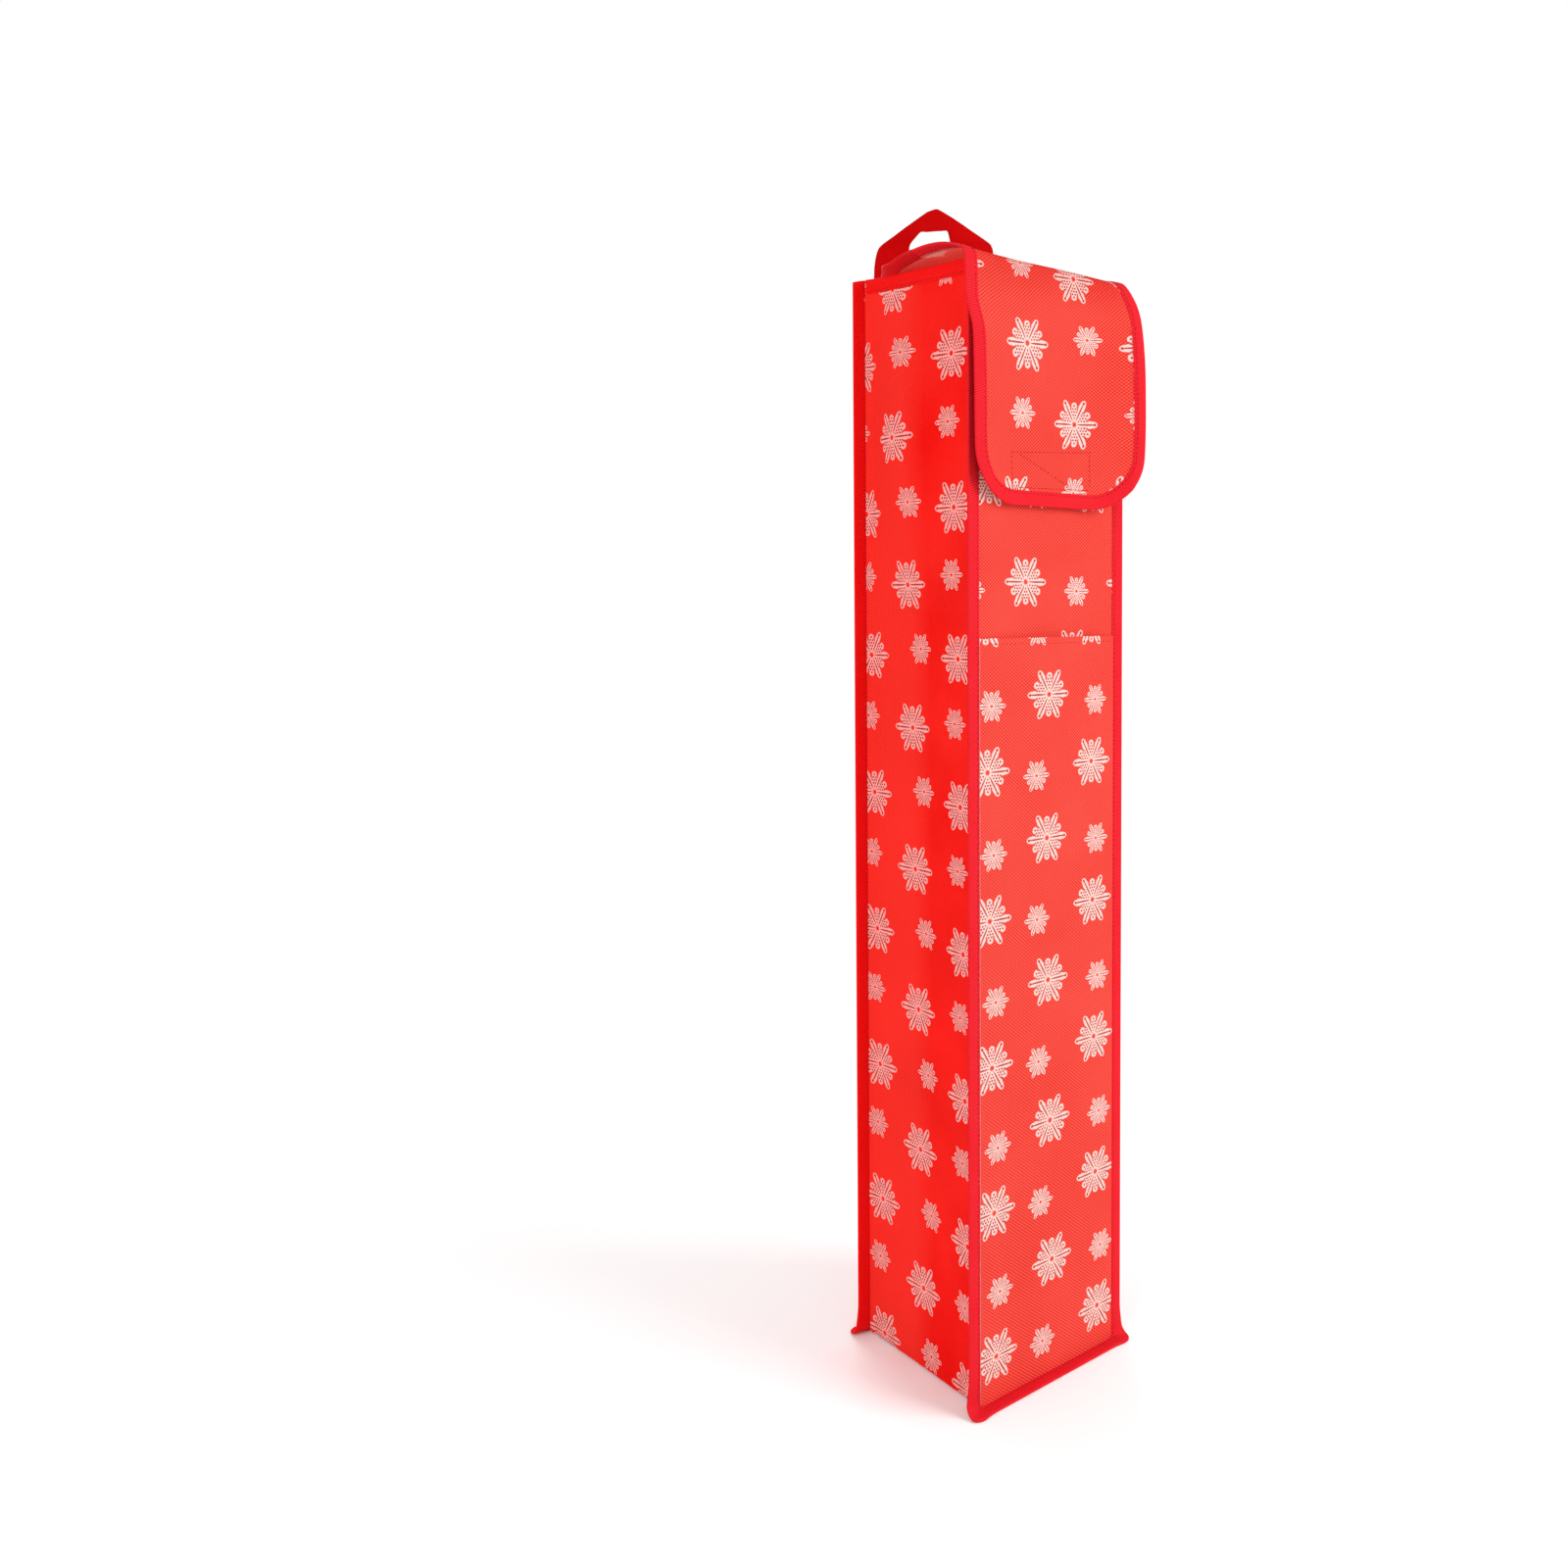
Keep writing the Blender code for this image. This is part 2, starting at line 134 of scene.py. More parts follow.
class Profile:
    """A smooth line through its places, read by the share of its length."""

    def __init__(self, places):
        self.fine = []
        ends = [places[0]] + places + [places[-1]]
        for a, b, c, d in zip(ends, ends[1:], ends[2:], ends[3:]):
            a, b, c, d = Vector(a), Vector(b), Vector(c), Vector(d)
            for k in range(PROFILE_STEPS):
                t = k / PROFILE_STEPS
                self.fine.append((b * 2 + (c - a) * t + (a * 2 - b * 5 + c * 4 - d) * t ** 2
                                  + (b * 3 - a - c * 3 + d) * t ** 3) / 2)
        self.fine.append(Vector(places[-1]))
        self.runs = [0.0]
        for before, after in zip(self.fine, self.fine[1:]):
            self.runs.append(self.runs[-1] + (after - before).length)
        self.length = self.runs[-1]

    def at(self, share):
        run = share * self.length
        low, high = 0, len(self.runs) - 1
        while high - low > 1:
            middle = (low + high) // 2
            if self.runs[middle] <= run:
                low = middle
            else:
                high = middle
        t = (run - self.runs[low]) / (self.runs[high] - self.runs[low])
        return self.fine[low].lerp(self.fine[high], t)

    def place_shares(self, count):
        """The share of the length at each of the first places, up to count, and at the end."""
        return [self.runs[PROFILE_STEPS * k] / self.length for k in range(count)] + [1.0]


RIDGE_FADE = 0.2


def ridge(x, s, start, end, height, reach):
    """A pressed ridge from start to end, that falls off to both sides and fades at its ends."""
    line = Vector(end) - Vector(start)
    gap = Vector((x, s)) - Vector(start)
    share = gap.dot(line) / line.length_squared
    if not -RIDGE_FADE < share < 1 + RIDGE_FADE:
        return 0.0
    off = abs(gap.x * line.y - gap.y * line.x) / line.length
    faded = ramp(share, -RIDGE_FADE, RIDGE_FADE) * ramp(share, 1 + RIDGE_FADE, 1 - RIDGE_FADE)
    return height * math.exp(-off / reach) * faded


# The long cloth from the top of the back, over the mouth and down the front, as (y, z) places
FLAP_MIDDLE = [
    (0.0736, 0.8950), (0.0735, 0.9000), (0.0722, 0.9032), (0.0690, 0.9050), (0.0600, 0.9064),
    (0.0400, 0.9082), (0.0100, 0.9097), (-0.0200, 0.9103), (-0.0450, 0.9103), (-0.0600, 0.9098),
    (-0.0700, 0.9085), (-0.0755, 0.9055), (-0.0772, 0.8995), (-0.0779, 0.8900), (-0.0785, 0.8700),
    (-0.0787, 0.8400), (-0.0787, 0.8000), (-0.0787, 0.7600), (-0.0787, FLAP_END)]
FLAP_LEFT = [
    (0.0742, 0.8950), (0.0740, 0.8990), (0.0725, 0.9018), (0.0680, 0.9034), (0.0550, 0.9048),
    (0.0430, 0.9064), (0.0304, 0.9090), (0.0121, 0.9132), (-0.0093, 0.9156), (-0.0266, 0.9160),
    (-0.0402, 0.9156), (-0.0520, 0.9142), (-0.0620, 0.9118), (-0.0690, 0.9094), (-0.0742, 0.9068),
    (-0.0766, 0.9020), (-0.0773, 0.8930), (-0.0776, 0.8820), (-0.0780, 0.8700), (-0.0797, 0.8560),
    (-0.0818, 0.8430), (-0.0826, 0.8200), (-0.0830, 0.7950), (-0.0832, 0.7700), (-0.0840, 0.7420),
    (-0.0845, FLAP_END)]
FLAP_RIGHT = [
    (0.0742, 0.8950), (0.0740, 0.8990), (0.0725, 0.9018), (0.0680, 0.9035), (0.0550, 0.9056),
    (0.0379, 0.9083), (0.0244, 0.9104), (0.0060, 0.9122), (-0.0170, 0.9126), (-0.0330, 0.9121),
    (-0.0480, 0.9110), (-0.0600, 0.9099), (-0.0690, 0.9085), (-0.0745, 0.9063), (-0.0790, 0.9020),
    (-0.0832, 0.8968), (-0.0885, 0.8885), (-0.0921, 0.8808), (-0.0944, 0.8725), (-0.0966, 0.8585),
    (-0.0985, 0.8390), (-0.0995, 0.8200), (-0.0998, 0.7900), (-0.0990, 0.7640), (-0.0975, 0.7480),
    (-0.0945, 0.7330), (-0.0925, FLAP_END)]
MIDDLE, LEFT, RIGHT = Profile(FLAP_MIDDLE), Profile(FLAP_LEFT), Profile(FLAP_RIGHT)
FLAP_LENGTH = MIDDLE.length
BACK_START = FLAP_MIDDLE[0][1]
BACK_EASE = 0.03

# Runs along the long cloth: where the back's cloth ends on the cover, and the front fold
SPLIT = 0.085
FRONT_FOLD_RUN = 0.158
FRONT_FOLD_EASE = 0.01

# Its outline, and where across it the cover starts to rise and the hanging part to curl
FLAP_HALF = HALF_WIDTH + TAPE_WIDTH
FLAP_CORNER = 0.044
COVER_RISE = (0.015, HALF_WIDTH + 0.003)
CURL_START, CURL_FULL = 0.020, HALF_WIDTH + 0.002

# At the back's seams its cloth is cut short under the tape
HIDDEN_SHARE = 0.1
HIDDEN_RUN = (-0.004, 0.0)

# The cover's edge: folded in over the cover at the rear corners, then lying out and up a little
EDGE_LIFT = math.radians(16)
EDGE_LIFT_RUN = (0.150, 0.100)
REAR_FOLD = math.radians(144)
REAR_FOLD_RUN = (0.058, 0.003)
REAR_START = (0.0, 0.004)
REAR_DRAW = 0.0030
REAR_DRAW_ACROSS = (0.050, 0.070)

# The crest over the left front corner strays out to the left
CREST_STRAY = 0.0042
CREST_ACROSS = (0.040, 0.075)
CREST_RISE = (0.140, 0.155)
CREST_FALL = (0.215, 0.190)

# The soft fold that crosses the flap from its upper right, and two short ones, as (across, down)
# starts and ends with a height and a reach
FLAP_CREASES = [((0.069, 0.192), (-0.012, 0.2575), 0.0022, 0.010),
                ((0.070, 0.193), (0.079, 0.204), 0.0008, 0.003),
                ((-0.053, 0.162), (-0.042, 0.175), 0.0008, 0.003)]

# How far each upright seam turns out of its panel's plane, by face and side
SPLAY = {(-1, -1): math.radians(6), (-1, 1): 0.0, (1, -1): math.radians(10), (1, 1): math.radians(10)}


def long_cloth(x, s):
    """The cloth that is the back, the cover and the flap; s runs up the back, from below 0."""
    side = math.copysign(1, x)
    out = min(abs(x), HALF_WIDTH)
    past = max(0.0, abs(x) - HALF_WIDTH)
    if s < 0:
        z = BACK_START + s
        lean = ramp(s, 0, -BACK_EASE)
        splay = SPLAY[1, side] * lean
        past *= HIDDEN_SHARE + (1 - HIDDEN_SHARE) * ramp(s, *HIDDEN_RUN)
        y = BACK_FACE + drift(x, BACK_LEVEL, z, *BACK_WAVES) * lean * near_middle(x)
        return Vector((side * (out + past * math.cos(splay)), y + past * math.sin(splay), z))
    share = min(s / FLAP_LENGTH, 1.0)
    over = ramp(s, FRONT_FOLD_RUN - FRONT_FOLD_EASE, FRONT_FOLD_RUN + FRONT_FOLD_EASE)
    curl = min(max(0.0, abs(x) - CURL_START) / (CURL_FULL - CURL_START), 1.0) ** 2
    weight = ramp(abs(x), *COVER_RISE) * (1 - over) + curl * over
    edge = RIGHT if side > 0 else LEFT
    y, z = MIDDLE.at(share).lerp(edge.at(share), weight)
    ripple = drift(x, s, FLAP_LEVEL, *FLAP_WAVES) * ramp(s, 0, BACK_EASE)
    y -= ripple * over + sum(ridge(x, s, *crease) for crease in FLAP_CREASES)
    z += ripple * (1 - over) - max(0.0, s - FLAP_LENGTH)
    folded = ramp(s, *REAR_FOLD_RUN)
    begun = ramp(s, *REAR_START)
    turn = (EDGE_LIFT + REAR_FOLD * folded) * begun * ramp(s, *EDGE_LIFT_RUN)
    drawn = REAR_DRAW * folded * begun * ramp(abs(x), *REAR_DRAW_ACROSS)
    strayed = CREST_STRAY * ramp(-x, *CREST_ACROSS) * ramp(s, *CREST_RISE) * ramp(s, *CREST_FALL)
    return Vector((side * (out - drawn + past * math.cos(turn)) - strayed, y, z + past * math.sin(turn)))


FRONT_HOLLOW = 0.0008


def front_cloth(x, z):
    """The front panel, a little hollow between its seams."""
    wander = drift(x, FRONT_LEVEL, z, *FRONT_WAVES)
    return Vector((x, FRONT_FACE + (wander + FRONT_HOLLOW) * near_middle(x), z))


# Round a panel's foot the seam turns out over the floor, in a wider bend at the corners
FOOT_LIFT = 0.0014
FOOT_BEND = 0.002
CORNER_BEND = 0.007
CORNER_SPREAD = 0.008
FOOT_FLARE = 0.003
FOOT_FLARE_HEIGHT = 0.03


def panel_edge(face, a, b):
    """The cloth round a panel's edge: out past its seams, and below its foot out over the floor."""
    side = math.copysign(1, a)
    splay = SPLAY[face, side]
    past = max(0.0, abs(a) - HALF_WIDTH)
    corner = ramp(abs(a), HALF_WIDTH - CORNER_SPREAD, HALF_WIDTH + CORNER_SPREAD)
    radius = FOOT_BEND + CORNER_BEND * corner
    half = radius * math.pi / 4
    if b >= half:
        out, z = 0.0, FOOT_LIFT + radius + b - half
    elif b > -half:
        angle = (half - b) / radius
        out, z = radius * (1 - math.cos(angle)), FOOT_LIFT + radius * (1 - math.sin(angle))
    else:
        out, z = radius - half - b, FOOT_LIFT
    flare = FOOT_FLARE * ramp(z, FOOT_FLARE_HEIGHT, 0) * past / TAPE_WIDTH
    return Vector((side * (min(abs(a), HALF_WIDTH) + past * math.cos(splay) + flare),
                   face * (BACK_FACE + past * math.sin(splay) + out), z))


# A side's slack valley and its swell near the mouth; each ramp is the heights where it starts
# and where it is full
VALLEY = 0.0034
VALLEY_ROUND = 0.04
VALLEY_TOP = (0.70, 0.58)
VALLEY_FOOT = (0.0, 0.05)
SWELL = 0.0065
SWELL_FOOT = (0.62, 0.76)
SWELL_TOP = (MOUTH + 0.004, MOUTH - 0.076)
SWELL_PLACE, SWELL_REACH = 0.020, 0.034
SWELL_SPREAD = 1.6

# It flares out to meet the tapes in a narrow band at its seams
SEAM_FLARE = 0.0015
SEAM_FLARE_FOOT = (0.0, 0.006)
SEAM_FLARE_SPREAD = 5

# Its packing creases, as (y, z) starts and ends with a height
SIDE_CREASES = [((0.050, 0.716), (-0.050, 0.728), 0.0010), ((0.010, 0.519), (-0.060, 0.516), 0.0011),
                ((-0.010, 0.408), (-0.060, 0.402), 0.0009), ((0.060, 0.377), (-0.050, 0.372), 0.0011)]
SIDE_CREASE_REACH = 0.007


def side_cloth(side, y, z):
    """A side panel: a slack valley down its middle, and a swell behind it near the mouth."""
    share = min(abs(y) / HALF_DEPTH, 1.0)
    within = math.cos(math.pi * share / 2)
    valley = VALLEY * ramp(z, *VALLEY_TOP) * ramp(z, *VALLEY_FOOT)
    valley *= (1 - math.hypot(share, VALLEY_ROUND)) / (1 - VALLEY_ROUND)
    swell = SWELL * ramp(z, *SWELL_FOOT) * ramp(z, *SWELL_TOP)
    swell *= math.exp(-((y - SWELL_PLACE) / SWELL_REACH) ** 2) * smooth(within * SWELL_SPREAD)
    wander = drift(side * SIDE_LEVEL, y, z, *SIDE_WAVES)
    wander += sum(ridge(y, z, *crease, SIDE_CREASE_REACH) for crease in SIDE_CREASES)
    flare = SEAM_FLARE * (1 - smooth(within * SEAM_FLARE_SPREAD)) * ramp(z, *SEAM_FLARE_FOOT)
    return Vector((side * (SIDE_FACE - max(valley, 0) + swell + wander * within + flare), y, z))


# How far the mouth's edge stands up: at the front, on the sides, and more at each rear end
FRONT_LIFT = 0.0013
MOUTH_LIFT = 0.0046
MOUTH_LIFT_SHARE = 0.15
REAR_RISE = {-1: 0.007, 1: 0.003}
REAR_RISE_POWER = 1.5


def mouth_top(side, y):
    """How high the mouth's edge is along a side: it rises towards the back."""
    share = min(max((y + HALF_DEPTH) / (2 * HALF_DEPTH), 0), 1)
    lift = FRONT_LIFT + (MOUTH_LIFT - FRONT_LIFT) * smooth(share / MOUTH_LIFT_SHARE)
    return MOUTH + lift + REAR_RISE[side] * share ** REAR_RISE_POWER


def apply_modifiers(obj):
    """Applies every modifier of an object, in order."""
    bpy.ops.object.select_all(action="DESELECT")
    obj.select_set(True)
    bpy.context.view_layer.objects.active = obj
    for modifier in list(obj.modifiers):
        bpy.ops.object.modifier_apply(modifier=modifier.name)


SHARPEST = math.radians(50)


def sheet(name, across, along, place, uv, outward, materials, thickness=CLOTH, offset=-1, print_uv=None):
    """A sheet of cloth on a grid of stops, given its thickness behind its outer face."""
    bpy.ops.object.select_all(action="DESELECT")
    bpy.ops.mesh.primitive_grid_add(size=1, x_subdivisions=len(across) - 1, y_subdivisions=len(along) - 1)
    obj = bpy.context.object
    obj.name = obj.data.name = name
    values = []
    for vertex in obj.data.vertices:
        column = round((vertex.co.x + 1 / 2) * (len(across) - 1))
        row = round((vertex.co.y + 1 / 2) * (len(along) - 1))
        values.append((across[column], along[row]))
    for vertex, value in zip(obj.data.vertices, values):
        vertex.co = place(*value)
    layer = obj.data.uv_layers.active.data
    for loop in obj.data.loops:
        layer[loop.index].uv = uv(*values[loop.vertex_index])
    if print_uv is not None:
        layer = obj.data.uv_layers.new(name=PRINT_MAP).data
        for loop in obj.data.loops:
            layer[loop.index].uv = print_uv(*values[loop.vertex_index])
        obj.data.uv_layers.active_index = 0
    obj.data.update()
    facing = sum(polygon.normal.dot(outward) for polygon in obj.data.polygons[:3])
    if facing < 0:
        obj.data.flip_normals()
    for material in materials:
        obj.data.materials.append(material)
    solidify = obj.modifiers.new("thickness", "SOLIDIFY")
    solidify.thickness = thickness
    solidify.offset = offset
    solidify.use_even_offset = False
    if len(materials) > 1:
        solidify.material_offset = 1
        solidify.material_offset_rim = 1
    apply_modifiers(obj)
    bpy.ops.object.shade_smooth_by_angle(angle=SHARPEST)
    return obj


NORMAL_STEP = 0.0005


def lifted(surface, run, inset, lift):
    """A place raised from a surface along its normal."""
    along = surface(run + NORMAL_STEP, inset) - surface(run - NORMAL_STEP, inset)
    inward = surface(run, inset + NORMAL_STEP) - surface(run, inset - NORMAL_STEP)
    return surface(run, inset) + inward.cross(along).normalized() * lift


# Half a folded tape from its edge to its fold, as shares of its width and of its half thickness
TAPE_SHARES = [(1, 0.5), (0.93, 0.62), (0.82, 0.55), (0.7, 0.85), (0.45, 1), (0.22, 1)]
FOLD_TURNS = 8


def tape_section(width, half):
    """Across a folded tape: how far in from its fold and how high off the cloth, face to face."""
    flat_part = [(width * across, half * up) for across, up in TAPE_SHARES]
    angles = [math.pi / 2 - math.pi * k / FOLD_TURNS for k in range(FOLD_TURNS + 1)]
    turn = [(half - half * math.cos(angle), half * math.sin(angle)) for angle in angles]
    return flat_part + turn + [(inset, -lift) for inset, lift in reversed(flat_part)]


def fold_tape(name, surface, rows, material, width=TAPE_WIDTH, half=TAPE_HALF):
    """Binding tape folded over an edge; surface(run, inset) is the bound cloth at that edge."""
    section = tape_section(width, half)
    measured = [0.0]
    for (a, b), (c, d) in zip(section, section[1:]):
        measured.append(measured[-1] + math.hypot(c - a, d - b))
    first = lifted(surface, rows[0], *section[0]) - surface(rows[0], section[0][0])
    return sheet(
        name, list(range(len(section))), rows,
        lambda k, run: lifted(surface, run, *section[k]),
        lambda k, run: (run, measured[k]),
        first.normalized(), [material], TAPE)


# Stitches, and the step at which a row's real length is measured
STITCH_LENGTH = 0.0030
STITCH_PITCH = 0.0041
THREAD = 0.0006
THREAD_FLATNESS = 0.8
MEASURE_STEP = 0.001


def stitch_shape():
    """One stitch: a grain of thread, thickest in its middle, lying along X."""
    bpy.ops.object.select_all(action="DESELECT")
    bpy.ops.mesh.primitive_uv_sphere_add(segments=5, ring_count=5, radius=0.5)
    obj = bpy.context.object
    bpy.ops.object.mode_set(mode="EDIT")
    bpy.ops.mesh.select_all(action="SELECT")
    bpy.ops.transform.rotate(value=math.radians(90), orient_axis="Y", center_override=(0, 0, 0))
    bpy.ops.transform.resize(value=(STITCH_LENGTH, THREAD, THREAD * THREAD_FLATNESS),
                             center_override=(0, 0, 0))
    bpy.ops.object.mode_set(mode="OBJECT")
    bpy.ops.object.shade_smooth()
    return obj


def seam_rows(cloth, corners, lift):
    """Rows of stitches from corner to corner on a cloth, at a height above it."""
    rows = []
    for start, end in zip(corners, corners[1:]):
        start, end = Vector(start), Vector(end)
        along = (end - start).normalized()

        def surface(run, inset, start=start, along=along):
            return cloth(*(start + along * run + Vector((-along.y, along.x)) * inset))

        rows.append((surface, 0.0, (end - start).length, 0.0, lift))
    return rows


def box_corners(left, right, low, high):
    """Once round a box."""
    return [(left, low), (right, low), (right, high), (left, high), (left, low)]


def stitches(name, rows, material):
    """Rows of stitches joined into one piece; a row is (surface, start, end, inset, lift)."""
    shape = stitch_shape()
    copies = []
    for surface, start, end, inset, lift in rows:
        runs = stops(start, end, MEASURE_STEP)
        gone = STITCH_PITCH / 2
        for before, after in zip(runs, runs[1:]):
            middle = lifted(surface, after, inset, lift)
            along = middle - lifted(surface, before, inset, lift)
            gone += along.length
            if gone < STITCH_PITCH:
                continue
            gone -= STITCH_PITCH
            along = along.normalized()
            out = (middle - surface(after, inset)).normalized()
            across = out.cross(along).normalized()
            turn = Matrix((along, across, out)).transposed().to_4x4()
            copy = shape.copy()
            copy.data = shape.data.copy()
            copy.data.transform(Matrix.Translation(middle) @ turn)
            bpy.context.collection.objects.link(copy)
            copies.append(copy)
    bpy.data.objects.remove(shape)
    bpy.ops.object.select_all(action="DESELECT")
    for copy in copies:
        copy.select_set(True)
    bpy.context.view_layer.objects.active = copies[0]
    bpy.ops.object.join()
    obj = bpy.context.object
    obj.name = obj.data.name = name
    obj.data.materials.clear()
    obj.data.materials.append(material)
    return obj


# Materials: short hands for nodes


def value_of(tree, socket, value):
    """Feeds a socket from another socket, or sets it."""
    if isinstance(value, bpy.types.NodeSocket):
        tree.links.new(value, socket)
    else:
        socket.default_value = value


def maths(tree, operation, *values, clamp=False):
    node = tree.nodes.new("ShaderNodeMath")
    node.operation = operation
    node.use_clamp = clamp
    for socket, value in zip(node.inputs, values):
        value_of(tree, socket, value)
    return node.outputs[0]


def vectors(tree, operation, *values, output=0, scale=None):
    node = tree.nodes.new("ShaderNodeVectorMath")
    node.operation = operation
    for socket, value in zip(node.inputs, values):
        value_of(tree, socket, value)
    if scale is not None:
        node.inputs["Scale"].default_value = scale
    return node.outputs[output]


def mixed(tree, factor, a, b, kind="RGBA"):
    """Goes from a to b as the factor goes from 0 to 1, for colours or vectors."""
    node = tree.nodes.new("ShaderNodeMix")
    node.data_type = kind
    sockets, output = {"VECTOR": ((0, 4, 5), 1), "RGBA": ((0, 6, 7), 2)}[kind]
    for index, value in zip(sockets, (factor, a, b)):
        value_of(tree, node.inputs[index], value)
    return node.outputs[output]


def parts_of(tree, vector):
    node = tree.nodes.new("ShaderNodeSeparateXYZ")
    tree.links.new(vector, node.inputs[0])
    return node.outputs[0], node.outputs[1]


def noise_of(tree, vector, scale, detail=2.0, roughness=0.5):
    node = tree.nodes.new("ShaderNodeTexNoise")
    node.inputs["Scale"].default_value = scale
    node.inputs["Detail"].default_value = detail
    node.inputs["Roughness"].default_value = roughness
    tree.links.new(vector, node.inputs["Vector"])
    return node.outputs["Fac"]


def phase_of(tree, place, pitch):
    """The angle of a wave that repeats at a pitch."""
    return maths(tree, "MULTIPLY", place, math.pi * 2 / pitch)


def ribs_of(tree, phase):
    """Even ribs, from 0 to 1."""
    return maths(tree, "MULTIPLY_ADD", maths(tree, "SINE", phase), 0.5, 0.5)


def shade(colour, share=1):
    """A colour darkened to a share of itself, with its alpha."""
    return tuple(c * share for c in colour) + (1,)


def hazed(colour, haze, share):
    """A colour with a share of a pale haze over it, with its alpha."""
    return tuple(min(1, c + share * h) for c, h in zip(colour, haze)) + (1,)


def new_material(name, roughness, specular):
    material = bpy.data.materials.new(name)
    material.use_nodes = True
    tree = material.node_tree
    shader = tree.nodes["Principled BSDF"]
    shader.inputs["Roughness"].default_value = roughness
    shader.inputs["Specular IOR Level"].default_value = specular
    return material, tree, shader, tree.nodes.new("ShaderNodeTexCoord")


def bumped(tree, shader, height, distance, strength):
    node = tree.nodes.new("ShaderNodeBump")
    node.inputs["Strength"].default_value = strength
    node.inputs["Distance"].default_value = distance
    tree.links.new(height, node.inputs["Height"])
    tree.links.new(node.outputs[0], shader.inputs["Normal"])
    return node.outputs[0]


def lit_through(tree, shader, colour, normal, share):
    """Lets some of the light behind a cloth through it."""
    output = tree.nodes["Material Output"]
    glow = tree.nodes.new("ShaderNodeBsdfTranslucent")
    value_of(tree, glow.inputs["Color"], colour)
    tree.links.new(normal, glow.inputs["Normal"])
    both = tree.nodes.new("ShaderNodeMixShader")
    value_of(tree, both.inputs[0], share)
    tree.links.new(shader.outputs[0], both.inputs[1])
    tree.links.new(glow.outputs[0], both.inputs[2])
    tree.links.new(both.outputs[0], output.inputs["Surface"])


# The print: two sizes of flake on a staggered lattice
CELL = (0.114, 0.1173)
BIG_FLAKE = 0.0225
SMALL_FLAKE = 0.014
FLAKES = [((0.0, 0.0), BIG_FLAKE), ((0.052, 0.0586), BIG_FLAKE),
          ((0.057, -0.007), SMALL_FLAKE), ((-0.012, 0.052), SMALL_FLAKE)]
HALF_ARM = math.radians(30)


